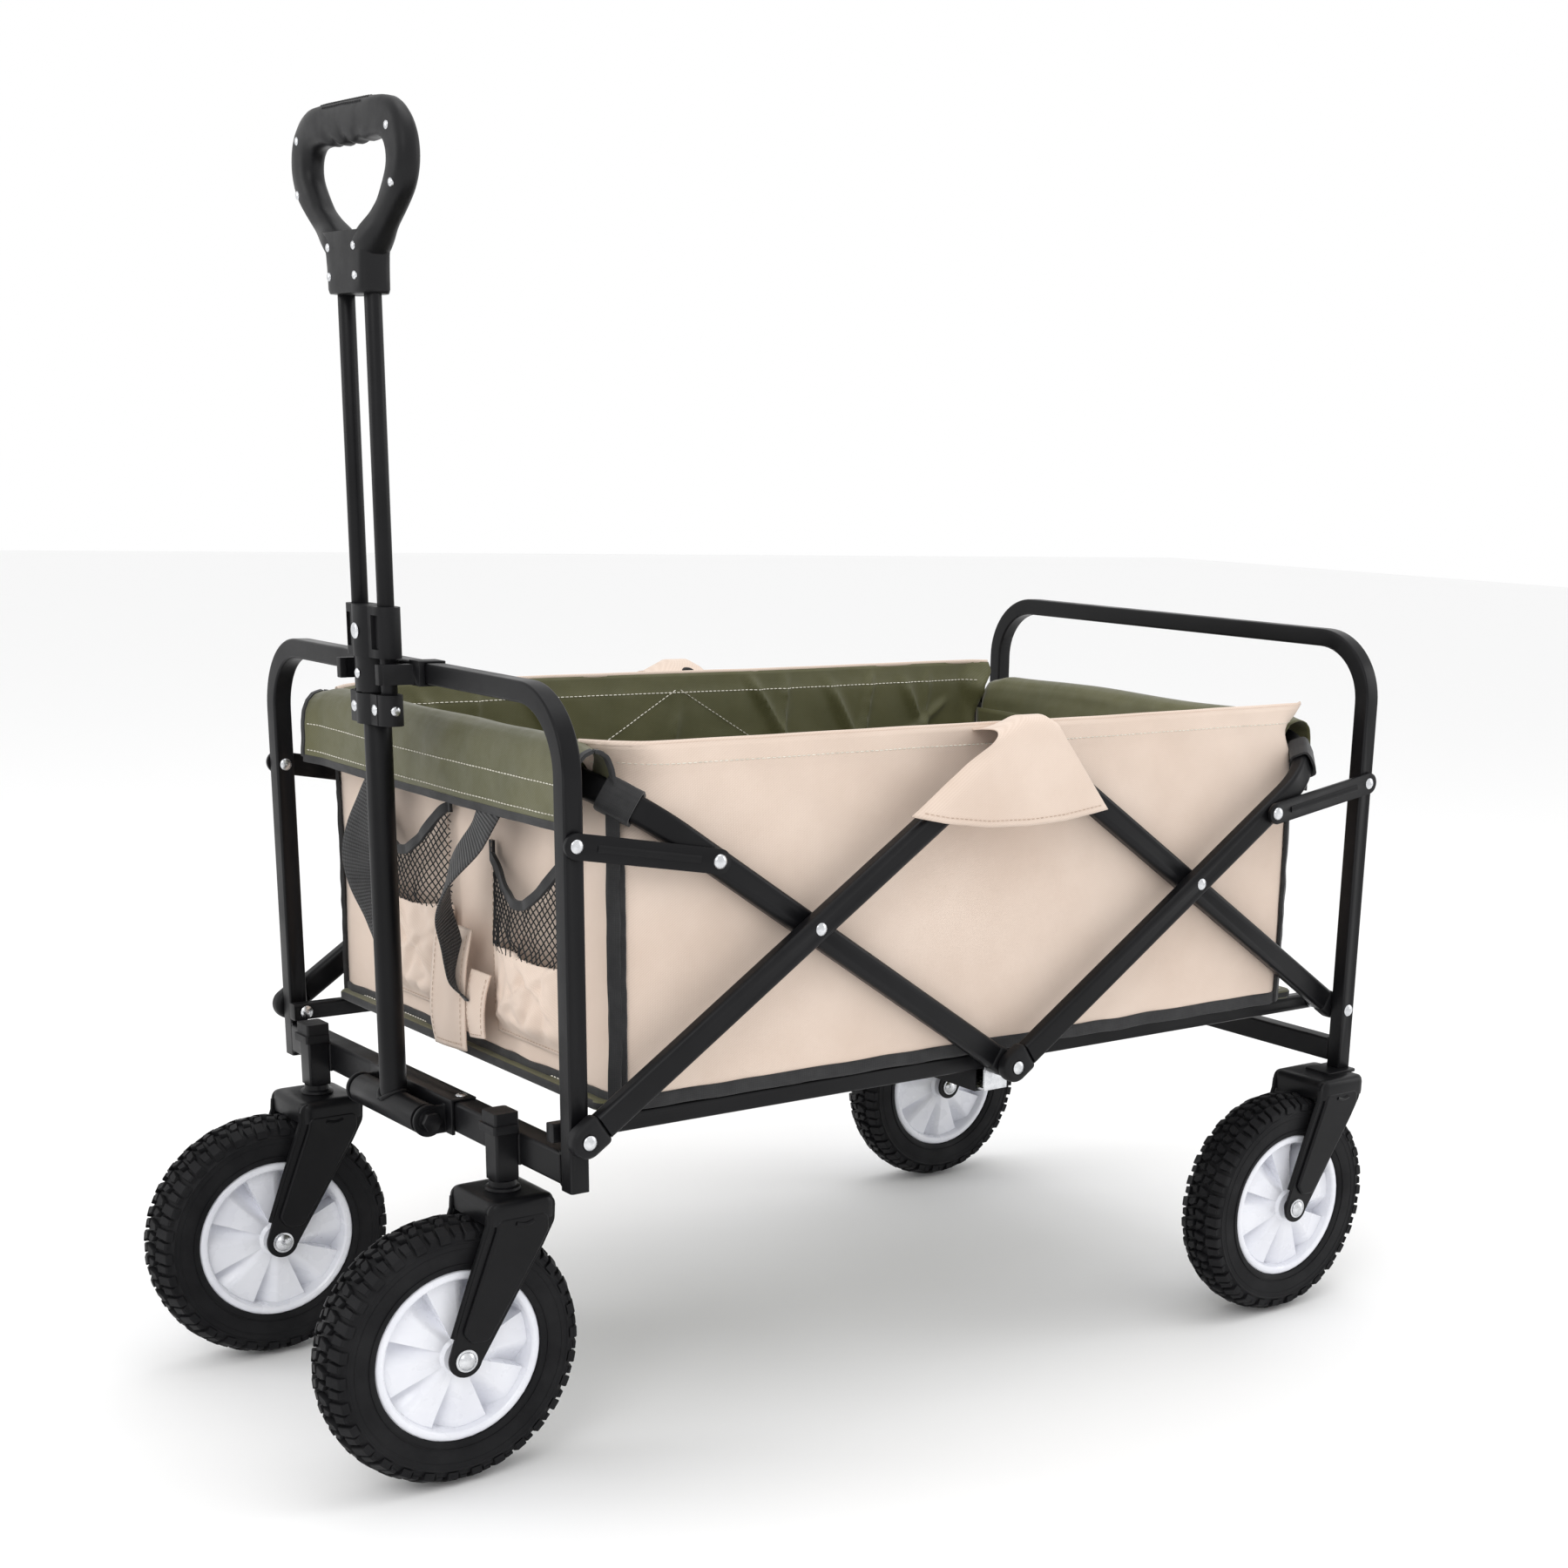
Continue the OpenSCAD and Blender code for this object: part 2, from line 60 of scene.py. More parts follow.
# ---------------------------------------------------------------- materials
class Mat:
    def __init__(self, name, base, rough, metal=0.0, **sockets):
        self.m = bpy.data.materials.new(name)
        self.m.use_nodes = True
        self.nt = self.m.node_tree
        self.b = self.nt.nodes["Principled BSDF"]
        self.base = base
        self.b.inputs["Base Color"].default_value = (*base, 1)
        self.b.inputs["Roughness"].default_value = rough
        self.b.inputs["Metallic"].default_value = metal
        for k, v in sockets.items():
            self.b.inputs[k.replace("_", " ")].default_value = v
        self.normal = None
        self.coord = self.nt.nodes.new("ShaderNodeTexCoord")

    def node(self, kind, **props):
        n = self.nt.nodes.new(kind)
        for k, v in props.items():
            setattr(n, k, v)
        return n

    def link(self, a, b):
        self.nt.links.new(a, b)

    def noise(self, scale, detail=3.0, out="Object", rough=0.55, stretch=None):
        n = self.node("ShaderNodeTexNoise")
        n.inputs["Scale"].default_value = scale
        n.inputs["Detail"].default_value = detail
        n.inputs["Roughness"].default_value = rough
        src = self.coord.outputs[out]
        if stretch:
            mp = self.node("ShaderNodeMapping")
            mp.inputs["Scale"].default_value = stretch
            self.link(src, mp.inputs["Vector"])
            src = mp.outputs["Vector"]
        self.link(src, n.inputs["Vector"])
        return n.outputs["Fac"]

    def wave(self, scale, direction, out="UV", rot=0.0, distortion=0.0):
        n = self.node("ShaderNodeTexWave", wave_type="BANDS", bands_direction=direction)
        n.inputs["Scale"].default_value = scale
        n.inputs["Distortion"].default_value = distortion
        src = self.coord.outputs[out]
        if rot:
            mp = self.node("ShaderNodeMapping")
            mp.inputs["Rotation"].default_value = (0, 0, rot)
            self.link(src, mp.inputs["Vector"])
            src = mp.outputs["Vector"]
        self.link(src, n.inputs["Vector"])
        return n.outputs["Fac"]

    def bump(self, height, strength, distance):
        n = self.node("ShaderNodeBump")
        n.inputs["Strength"].default_value = strength
        n.inputs["Distance"].default_value = distance
        self.link(height, n.inputs["Height"])
        if self.normal is not None:
            self.link(self.normal, n.inputs["Normal"])
        self.normal = n.outputs["Normal"]
        self.link(self.normal, self.b.inputs["Normal"])

    def ramp(self, fac, lo, hi, target, p0=0.35, p1=0.65):
        r = self.node("ShaderNodeValToRGB")
        r.color_ramp.elements[0].position = p0
        r.color_ramp.elements[1].position = p1
        r.color_ramp.elements[0].color = lo if len(lo) == 4 else (*lo, 1)
        r.color_ramp.elements[1].color = hi if len(hi) == 4 else (*hi, 1)
        self.link(fac, r.inputs["Fac"])
        self.link(r.outputs["Color"], self.b.inputs[target])

    def mul(self, a, b, op="MULTIPLY"):
        n = self.node("ShaderNodeMath", operation=op)
        self.link(a, n.inputs[0])
        if isinstance(b, (int, float)):
            n.inputs[1].default_value = b
        else:
            self.link(b, n.inputs[1])
        return n.outputs[0]

    def edge(self, lo, hi, edge_highlight_colour, amount=0.5):
        """painted highlight: the paint is made paler along the convex edges, by the pointiness of the mesh"""
        g = self.node("ShaderNodeNewGeometry")
        # painted highlight: this noise breaks up the pale colour laid along the convex edges
        highlight_breakup = self.noise(60, 4)
        k = self.mul(g.outputs["Pointiness"], 1.0)
        r = self.node("ShaderNodeMapRange")
        r.inputs["From Min"].default_value = 0.52
        r.inputs["From Max"].default_value = 0.60
        r.inputs["To Max"].default_value = amount
        self.link(k, r.inputs["Value"])
        mixf = self.mul(r.outputs["Result"], highlight_breakup)
        base = self.node("ShaderNodeValToRGB")
        base.color_ramp.elements[0].position = 0.3
        base.color_ramp.elements[1].position = 0.7
        base.color_ramp.elements[0].color = (*lo, 1)
        base.color_ramp.elements[1].color = (*hi, 1)
        self.link(self.noise(14, 4), base.inputs["Fac"])
        # mixes the painted edge highlight colour into the base colour
        mx = self.node("ShaderNodeMix", data_type="RGBA")
        mx.inputs["B"].default_value = (*edge_highlight_colour, 1) if False else mx.inputs["B"].default_value
        for s in mx.inputs:
            if s.name == "B" and s.type == "RGBA":
                s.default_value = (*edge_highlight_colour, 1)
            if s.name == "A" and s.type == "RGBA":
                a_in = s
            if s.name == "Factor" and s.type == "VALUE":
                f_in = s
        out = [o for o in mx.outputs if o.type == "RGBA"][0]
        self.link(base.outputs["Color"], a_in)
        self.link(mixf, f_in)
        self.link(out, self.b.inputs["Base Color"])


def grey(v):
    return (v, v, v, 1)


coat = Mat("powder_coat_black", (0.004, 0.004, 0.005), 0.32, Specular_IOR_Level=0.17)
# paler convex edges on the powder coat: painted highlight
coat.edge((0.0032, 0.0032, 0.0038), (0.006, 0.006, 0.007), (0.035, 0.035, 0.037), 0.35)
coat.bump(coat.noise(1500, 2), 0.10, 0.0004)
coat.bump(coat.noise(240, 2), 0.05, 0.0006)
coat.ramp(coat.noise(30, 4), grey(0.31), grey(0.42), "Roughness")

plastic = Mat("moulded_plastic_black", (0.005, 0.005, 0.006), 0.48, Specular_IOR_Level=0.20)
# paler convex edges on the moulded plastic: painted highlight
plastic.edge((0.004, 0.004, 0.005), (0.008, 0.008, 0.009), (0.03, 0.03, 0.03), 0.3)
plastic.bump(plastic.noise(2300, 2), 0.22, 0.0003)
plastic.ramp(plastic.noise(45, 4), grey(0.42), grey(0.56), "Roughness")

grip_mat = Mat("grip_plastic_black", (0.005, 0.005, 0.006), 0.40, Specular_IOR_Level=0.24)
# paler convex edges on the grip: painted highlight
grip_mat.edge((0.004, 0.004, 0.005), (0.008, 0.008, 0.009), (0.028, 0.028, 0.028), 0.28)
grip_mat.bump(grip_mat.noise(1900, 2), 0.15, 0.0003)
grip_mat.ramp(grip_mat.noise(50, 4), grey(0.36), grey(0.50), "Roughness")

zinc = Mat("zinc_plate", (0.66, 0.67, 0.69), 0.26, 1.0)
zinc.ramp(zinc.noise(160, 3), (0.56, 0.57, 0.59), (0.72, 0.73, 0.75), "Base Color")
zinc.ramp(zinc.noise(400, 3, stretch=(1, 1, 6)), grey(0.18), grey(0.36), "Roughness")
zinc.bump(zinc.noise(700, 2), 0.06, 0.0003)

rubber = Mat("tyre_rubber_black", (0.009, 0.009, 0.010), 0.62, Specular_IOR_Level=0.18)
rubber.ramp(rubber.noise(35, 5), (0.004, 0.004, 0.005), (0.009, 0.009, 0.010), "Base Color")
rubber.ramp(rubber.noise(22, 4), grey(0.52), grey(0.72), "Roughness")
rubber.bump(rubber.noise(900, 3), 0.25, 0.0004)

hubmat = Mat("hub_gloss_white", (0.78, 0.79, 0.84), 0.28, Coat_Weight=0.3, Coat_Roughness=0.12)
hubmat.ramp(hubmat.noise(18, 4), (0.74, 0.75, 0.81), (0.82, 0.83, 0.875), "Base Color")
hubmat.ramp(hubmat.noise(50, 3), grey(0.22), grey(0.34), "Roughness")
hubmat.bump(hubmat.noise(120, 2), 0.05, 0.0006)


def cloth(name, lo, hi, rough, sheen, wrinkle=0.35, pitch=0.0011, twill=True):
    m = Mat(name, lo, rough, Sheen_Weight=sheen, Sheen_Roughness=0.5)
    s = 0.31416 / pitch
    a = m.wave(s, "X", distortion=0.15)
    b = m.wave(s, "Y", distortion=0.15)
    weave = m.mul(a, b, "MAXIMUM") if not twill else m.wave(s * 0.7, "X", rot=0.95, distortion=0.1)
    both = m.mul(weave, m.mul(a, b), "ADD")
    m.bump(m.noise(5.5, 5, out="Object", rough=0.6), wrinkle, 0.006)
    m.bump(m.noise(26, 4, out="Object", rough=0.5), wrinkle * 0.5, 0.0018)
    m.bump(both, 0.20, 0.00022)
    tone = m.mul(m.mul(both, 0.22), m.noise(11, 5), "ADD")
    m.ramp(tone, lo, hi, "Base Color", 0.30, 0.95)
    m.ramp(m.noise(80, 3), grey(rough - 0.07), grey(rough + 0.07), "Roughness")
    return m


beige = cloth("beige_oxford_cloth", (0.6138, 0.4836, 0.3952), (0.7440, 0.6138, 0.5208), 0.72, 0.12, 0.18)
olive = cloth("olive_oxford_cloth", (0.0533, 0.0548, 0.0155), (0.1075, 0.1023, 0.0372), 0.60, 0.18, 0.5)
binding = cloth("black_binding_tape", (0.006, 0.006, 0.007), (0.017, 0.017, 0.018), 0.80, 0.15, 0.25, 0.0014, False)
webbing = Mat("black_webbing", (0.009, 0.009, 0.010), 0.7, Sheen_Weight=0.15, Sheen_Roughness=0.5)
_r = webbing.wave(0.31416 / 0.0027, "Y", distortion=0.1)
_t = webbing.wave(0.31416 / 0.0017, "X")
webbing.bump(_r, 0.8, 0.0009)
webbing.bump(_t, 0.35, 0.0004)
webbing.ramp(_r, (0.004, 0.004, 0.004), (0.026, 0.026, 0.028), "Base Color", 0.1, 0.9)
webbing.ramp(webbing.noise(60, 3), grey(0.62), grey(0.78), "Roughness")
thread = Mat("stitch_thread", (0.72, 0.69, 0.60), 0.75)
thread.ramp(thread.noise(300, 2), (0.60, 0.57, 0.49), (0.80, 0.77, 0.68), "Base Color")
thread.bump(thread.noise(2600, 2), 0.4, 0.0002)
dark_thread = Mat("tan_thread", (0.46, 0.34, 0.26), 0.8)
dark_thread.ramp(dark_thread.noise(300, 2), (0.38, 0.27, 0.20), (0.52, 0.40, 0.31), "Base Color")
net_mat = Mat("black_net_cord", (0.007, 0.007, 0.007), 0.75)
net_mat.ramp(net_mat.noise(200, 2), (0.004, 0.004, 0.004), (0.014, 0.014, 0.015), "Base Color")
net_mat.bump(net_mat.noise(1500, 2), 0.4, 0.0002)


# ---------------------------------------------------------------- mesh tools
def mk(name, verts, faces, material, body, slot_name=None, uvs=None, sharp=38, bevel=None, seg=2, thick=None, offset=0.0, weld=False):
    me = bpy.data.meshes.new(name)
    me.from_pydata([tuple(v) for v in verts], [], faces)
    me.validate()
    if uvs:
        lay = me.uv_layers.new(name="UVMap")
        for lp in me.loops:
            lay.data[lp.index].uv = uvs[lp.vertex_index]
    me.materials.append(material.m)
    me.polygons.foreach_set("use_smooth", [True] * len(me.polygons))
    ob = bpy.data.objects.new(name, me)
    bpy.context.scene.collection.objects.link(ob)
    me.set_sharp_from_angle(angle=math.radians(sharp))
    if thick:
        s = ob.modifiers.new("thick", "SOLIDIFY")
        s.thickness = thick
        s.offset = offset
        s.use_even_offset = False
    if bevel:
        b = ob.modifiers.new("bevel", "BEVEL")
        b.width = bevel
        b.segments = seg
        b.limit_method = "ANGLE"
        b.angle_limit = math.radians(40)
        b.harden_normals = True
    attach(ob, body)
    return ob


def grid(nu, nv, f, wrap_u=False):
    """points f(u, v) for u, v in 0..1 -> verts, faces"""
    vs, fs = [], []
    for j in range(nv + 1):
        for i in range(nu + (0 if wrap_u else 1)):
            vs.append(f(i / nu, j / nv))
    w = nu if wrap_u else nu + 1
    for j in range(nv):
        for i in range(nu):
            a, b = j * w + i, j * w + (i + 1) % w
            fs.append((a, b, b + w, a + w))
    return vs, fs


class Soup:
    """collects many small solids into one mesh"""

    def __init__(self):
        self.v, self.f = [], []

    def add(self, vs, fs):
        o = len(self.v)
        self.v += [tuple(p) for p in vs]
        self.f += [tuple(i + o for i in f) for f in fs]

    def prism(self, low, high):
        n = len(low)
        fs = [tuple(range(n - 1, -1, -1)), tuple(range(n, 2 * n))]
        fs += [(i, (i + 1) % n, n + (i + 1) % n, n + i) for i in range(n)]
        self.add(list(low) + list(high), fs)

    def mesh(self, name, material, body, **kw):
        return mk(name, self.v, self.f, material, body, **kw)


def tube(points, radius, sides=8, closed=False, flat=1.0, up=None):
    """sweep an ellipse (radius, radius*flat) along points; up sets which way is the flat direction"""
    pts = [Vector(p) for p in points]
    vs, fs = [], []
    n = len(pts)
    prev = None
    for i, p in enumerate(pts):
        a = pts[i - 1] if (i or closed) else p
        b = pts[(i + 1) % n] if (i < n - 1 or closed) else p
        t = (b - a).normalized()
        ref = Vector(up(i / (n - 1)) if callable(up) else up) if up is not None else (prev or Vector((0.13, 0.31, 0.94)))
        s = t.cross(ref).normalized()
        nrm = s.cross(t).normalized()
        prev = nrm
        for k in range(sides):
            c = 2 * pi * k / sides
            vs.append(p + s * (radius * cos(c)) + nrm * (radius * flat * sin(c)))
    rows = n if closed else n - 1
    for i in range(rows):
        for k in range(sides):
            a, b = i * sides + k, i * sides + (k + 1) % sides
            c, d = ((i + 1) % n) * sides + (k + 1) % sides, ((i + 1) % n) * sides + k
            fs.append((a, b, c, d))
    if not closed:
        fs.append(tuple(range(sides - 1, -1, -1)))
        fs.append(tuple((n - 1) * sides + k for k in range(sides)))
    return vs, fs


def band(points, width, thick, normal, material, name, body, slot_name, wav=0.0, taper=None):
    """flat strip of cloth or webbing: points along its middle, normal(t) out of its face; a closed rounded solid"""
    pts = [Vector(p) for p in points]
    n = len(pts)
    prof = [(-0.5, -0.25), (-0.47, -0.5), (-0.25, -0.5), (0.0, -0.5), (0.25, -0.5), (0.47, -0.5), (0.5, -0.25),
            (0.5, 0.25), (0.47, 0.5), (0.25, 0.5), (0.0, 0.5), (-0.25, 0.5), (-0.47, 0.5), (-0.5, 0.25)]
    k = len(prof)
    vs, fs, uv = [], [], []
    run = 0.0
    for i, p in enumerate(pts):
        t = (pts[min(i + 1, n - 1)] - pts[max(i - 1, 0)]).normalized()
        if i:
            run += (p - pts[i - 1]).length
        nn = Vector(normal(i / (n - 1)) if callable(normal) else normal).normalized()
        s = t.cross(nn).normalized()
        nn = s.cross(t).normalized()
        w = width * (taper(i / (n - 1)) if taper else 1.0)
        for a, b in prof:
            off = wav * nz(run * 60, a * 2.0, width * 50)
            vs.append(p + s * (a * w) + nn * (b * thick + off))
            uv.append((a * w, run))
    for i in range(n - 1):
        for j in range(k):
            a, b = i * k + j, i * k + (j + 1) % k
            fs.append((a, b, b + k, a + k))
    fs.append(tuple(range(k - 1, -1, -1)))
    fs.append(tuple((n - 1) * k + j for j in range(k)))
    return mk(name, vs, fs, material, body, slot_name, uvs=uv, sharp=60)


def stitches(lines, name, body, slot_name, material=None, pitch=0.0044, dash=0.0031, width=0.0010, height=0.0007, lift=0.0004):
    """lines: list of (point function of 0..1, outward normal function or vector, samples)"""
    sp = Soup()
    for fn, nrm, n in lines:
        pts = [Vector(fn(i / n)) for i in range(n + 1)]
        acc = [0.0]
        for i in range(n):
            acc.append(acc[-1] + (pts[i + 1] - pts[i]).length)

        def at(s):
            for i in range(n):
                if acc[i + 1] >= s:
                    r = (s - acc[i]) / max(1e-9, acc[i + 1] - acc[i])
                    return pts[i].lerp(pts[i + 1], r), (i + r) / n
            return pts[-1], 1.0

        s = 0.002
        while s + dash < acc[-1]:
            a, ta = at(s)
            b, _ = at(s + dash)
            d = (b - a).normalized()
            nn = Vector(nrm(ta) if callable(nrm) else nrm).normalized()
            w = d.cross(nn).normalized()
            nn = w.cross(d).normalized()
            ring = []
            for q, h in ((0.0, 0.15), (0.25, 0.8), (0.5, 1.0), (0.75, 0.8), (1.0, 0.15)):
                c = a.lerp(b, q) + nn * lift
                ring.append([c + w * (width / 2 * (0.5 + 0.5 * h)) - nn * height * 0.5, c + nn * (height * h * 0.6), c - w * (width / 2 * (0.5 + 0.5 * h)) - nn * height * 0.5])
            vs = [p for r in ring for p in r]
            fs = [(0, 1, 2)]
            for i in range(4):
                for k in range(3):
                    fs.append((i * 3 + k, (i + 1) * 3 + k, (i + 1) * 3 + (k + 1) % 3, i * 3 + (k + 1) % 3))
            fs.append((14, 13, 12))
            sp.add(vs, fs)
            s += pitch
    return sp.mesh(name, material or thread, body, slot_name=slot_name, sharp=70)


def round_poly(pts, rad, n=6):
    """rounds the corners of a closed 2D polygon; rad: one radius or a list"""
    out = []
    m = len(pts)
    for i in range(m):
        r = rad[i] if hasattr(rad, "__len__") else rad
        p0, p1, p2 = (Vector(pts[i - 1]), Vector(pts[i]), Vector(pts[(i + 1) % m]))
        a, b = (p0 - p1), (p2 - p1)
        la, lb = a.length, b.length
        a.normalize()
        b.normalize()
        ang = a.angle(b)
        d = min(r / max(1e-6, math.tan(ang / 2)), la * 0.49, lb * 0.49)
        if d < 1e-6 or abs(ang - pi) < 1e-3:
            out.append(tuple(p1))
            continue
        rr = d * math.tan(ang / 2)
        c = p1 + (a + b).normalized() * (rr / sin(ang / 2))
        s = (p1 + a * d) - c
        e = (p1 + b * d) - c
        a0, a1 = math.atan2(s.y, s.x), math.atan2(e.y, e.x)
        da = (a1 - a0 + pi) % (2 * pi) - pi
        for k in range(n + 1):
            t = a0 + da * k / n
            out.append((c.x + rr * cos(t), c.y + rr * sin(t)))
    return out


def plate(name, poly, y0, y1, material, body, slot_name, place, bevel=0.001, seg=3):
    """polygon in (x, z) extruded along y; place maps local to row coordinates"""
    n = len(poly)
    vs = [place(p[0], y0, p[1]) for p in poly] + [place(p[0], y1, p[1]) for p in poly]
    fs = [tuple(range(n)), tuple(range(2 * n - 1, n - 1, -1))] + [(i, n + i, n + (i + 1) % n, (i + 1) % n) for i in range(n)]
    ob = mk(name, vs, fs, material, body, slot_name, sharp=50, bevel=bevel, seg=seg)
    fixnormals(ob)
    return ob


def fixnormals(ob):
    import bmesh
    bm = bmesh.new()
    bm.from_mesh(ob.data)
    bmesh.ops.recalc_face_normals(bm, faces=bm.faces)
    bm.to_mesh(ob.data)
    bm.free()


def lathe(profile, n, centre, closed=True):
    """profile of (r, y) turned round the Y axis through centre"""
    cx, cy, cz = centre
    k = len(profile)
    vs, fs = [], []
    for i in range(n):
        a = 2 * pi * i / n
        for r, y in profile:
            vs.append((cx + r * cos(a), cy + y, cz + r * sin(a)))
    for i in range(n):
        j = (i + 1) % n
        for m in range(k if closed else k - 1):
            q = (m + 1) % k
            fs.append((i * k + m, i * k + q, j * k + q, j * k + m))
    return vs, fs


# ---------------------------------------------------------------- carried-over CAD nodes: finish and softened edges
def finish_node(node, material, bevel=0.0006, seg=2, angle=38):
    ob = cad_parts[node]
    ob.data.materials.clear()
    ob.data.materials.append(material.m)
    w = ob.modifiers.new("weld", "WELD")
    w.merge_threshold = 1e-5
    if bevel:
        b = ob.modifiers.new("bevel", "BEVEL")
        b.width = bevel
        b.segments = seg
        b.limit_method = "ANGLE"
        b.angle_limit = math.radians(angle)
        b.harden_normals = False
        b.loop_slide = False
    ob.data.polygons.foreach_set("use_smooth", [True] * len(ob.data.polygons))
    return ob


for n, wdt in dict(front_hoop=.0008, front_crossmember=.0008, caster_posts=.0008, handle_bracket=.0008, handle_bolt=.0005, arm_a1=.0006, arm_a2=.0006, arm_b2=.0006, arm_b1=.0006,
                   rear_hoop=.0008, rear_crossmember=.0008, handle_tube=.0008, handle_rods=.0006, centre_channel=.0006, front_links=.0007, rear_links=.0007,
                   floor_frame_front=.0008, floor_frame_rear=.0008).items():
    finish_node(n, coat, wdt)
for n, wdt, sg in (("post_caps", .0014, 3), ("handle_clip", .0016, 3), ("arm_a1_caps", .0042, 5), ("arm_a2_caps", .0030, 4), ("arm_b2_caps", .0030, 4), ("arm_b1_caps", .0042, 5), ("handle_upper_collar", .0014, 3), ("handle_lower_collar", .0014, 3)):
    finish_node(n, plastic, wdt, sg)
for n in "front_pivot_pins front_link_pins arm_a1_pins arm_b1_pins centre_pins rear_pivot_pins rear_axles rear_link_pins caster_axle_left caster_axle_right grip_screws centre_brackets".split():
    finish_node(n, zinc, 0.0003)


# ---------------------------------------------------------------- wheels
def crown(y):
    return 0.060 + math.sqrt(max(0.0, 0.040 ** 2 - y * y))


def wheel(tag, x, y):
    c = (x, y, 0.1)
    body = "wheel_" + tag
    half = [(0.0640, 0.0165), (0.0652, 0.0196), (0.0668, 0.0206), (0.072, 0.0212), (0.079, 0.0215), (0.0846, 0.0214), (0.0853, 0.0214), (0.0858, 0.0219),
            (0.0866, 0.0220), (0.0872, 0.0213), (0.0885, 0.0206), (0.0905, 0.0198), (0.0918, 0.0186), (0.0934, 0.014), (0.0950, 0.007)]
    prof = half + [(0.0957, 0.0)] + [(r, -q) for r, q in reversed(half)]
    vs, fs = lathe(prof, 120, c)
    sp = Soup()
    sp.add(vs, fs)

    def at(s, q, r):
        a = s / 0.1
        return (c[0] + r * cos(a), c[1] + q, c[2] + r * sin(a))

    def block(poly, drop, base=0.0055, lim=None):
        m = Vector((sum(p[0] for p in poly) / len(poly), sum(p[1] for p in poly) / len(poly)))
        lo, mid, hi = [], [], []
        for s, q in poly:
            lo.append(at(s, q, crown(q) - base))
            mid.append(at(s, q, crown(q) - drop - 0.0008))
            s2, q2 = m.x + (s - m.x) * 0.86, m.y + (q - m.y) * 0.90
            hi.append(at(s2, q2, crown(q2) - drop))
        n = len(poly)
        o = lo + mid + hi
        fcs = [tuple(range(n - 1, -1, -1)), tuple(range(2 * n, 3 * n))]
        for b in (0, n):
            fcs += [(b + i, b + (i + 1) % n, b + n + (i + 1) % n, b + n + i) for i in range(n)]
        sp.add(o, fcs)

    N = 30
    P = 2 * pi * 0.1 / N
    for i in range(N):
        for sg in (1, -1):
            s0 = i * P + (0 if sg > 0 else P / 2)
            mm = 0.001
            block([(s0 + .4 * mm, sg * .8 * mm), (s0 + 6.2 * mm, sg * .8 * mm), (s0 + 9.4 * mm, sg * 5.6 * mm), (s0 + 8.2 * mm, sg * 10.2 * mm), (s0 + 3.6 * mm, sg * 9.0 * mm)], 0.0)
            block([(s0 + 11.4 * mm, sg * 3.0 * mm), (s0 + 17.6 * mm, sg * 1.4 * mm), (s0 + 18.4 * mm, sg * 6.4 * mm), (s0 + 13.2 * mm, sg * 9.6 * mm)], 0.0004)
            long = (i % 2 == 0)
            q1 = 21.9 * mm
            block([(s0 + 5.0 * mm, sg * 12.0 * mm), (s0 + 12.6 * mm, sg * 11.4 * mm), (s0 + 14.6 * mm, sg * q1), (s0 + 5.6 * mm, sg * q1)], 0.0)
            block([(s0 + 15.0 * mm, sg * 12.6 * mm), (s0 + 22.4 * mm, sg * 12.0 * mm), (s0 + 22.6 * mm, sg * 20.4 * mm), (s0 + 16.4 * mm, sg * 20.6 * mm)], 0.0006)
            # lugs running down the shoulder
            for a0, a1, r0 in ((5.4, 14.0, .0888 if long else .0902), (16.6, 22.2, .0908)):
                qa, qb = sg * 18.6 * mm, sg * (22.0 if a0 < 10 else 21.0) * mm
                top = crown(abs(qb)) - .0012
                lo = [at(s0 + a0 * mm, qa, r0), at(s0 + a1 * mm, qa, r0), at(s0 + a1 * mm, qb, r0 + .0006), at(s0 + a0 * mm, qb, r0 + .0006)]
                hi = [at(s0 + (a0 + .4) * mm, qa, top + .0016), at(s0 + (a1 - .4) * mm, qa, top + .0016), at(s0 + (a1 - .4) * mm, qb, top), at(s0 + (a0 + .4) * mm, qb, top)]
                sp.prism(lo, hi)
    # fine rings moulded on the sidewall
    for sg in (1, -1):
        for rr, h in ((0.0700, .00035), (0.0812, .00030)):
            v2, f2 = lathe([(rr - .0005, sg * 0.0208), (rr - .0003, sg * (0.0214 + h)), (rr + .0003, sg * (0.0214 + h)), (rr + .0005, sg * 0.0208)], 120, c)
            sp.add(v2, f2)
    ty = sp.mesh("tread_tyre_" + tag, rubber, body, slot_name="tyre_rubber", sharp=32)
    fixnormals(ty)
    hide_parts("tyre_" + tag)

    # fan-shaped hub: 8 raised blades with sloping pockets between them, and a round rim
    hs = Soup()
    ts = [0.0, 0.16, 0.34, 0.50, 0.515, 0.58, 0.70, 0.82, 0.93, 0.985]
    rs = [0.0060, 0.0125, 0.0150, 0.0205, 0.0270, 0.0340, 0.0410, 0.0480, 0.0530, 0.0560]
    for sg in (1, -1):
        vs, fs = [], []
        cols = [(k + t) / 8 * 2 * pi for k in range(8) for t in ts]
        nt = len(ts)
        for ci, a in enumerate(cols):
            t = ts[ci % nt]
            if t <= 0.5:
                dep = 0.0
            else:
                dep = 1.0 - smooth((t - 0.515) / 0.47) if t > 0.515 else 1.0
            for r in rs:
                face = 0.0172 - 0.0032 * smooth((r - 0.018) / 0.036)
                q = face - dep * 0.0128 * smooth((r - 0.0125) / 0.034)
                if r <= 0.0130:
                    q = 0.0195
                aa = a + sg * 0.0
                vs.append((c[0] + r * cos(aa), c[1] + sg * q, c[2] + r * sin(aa)))
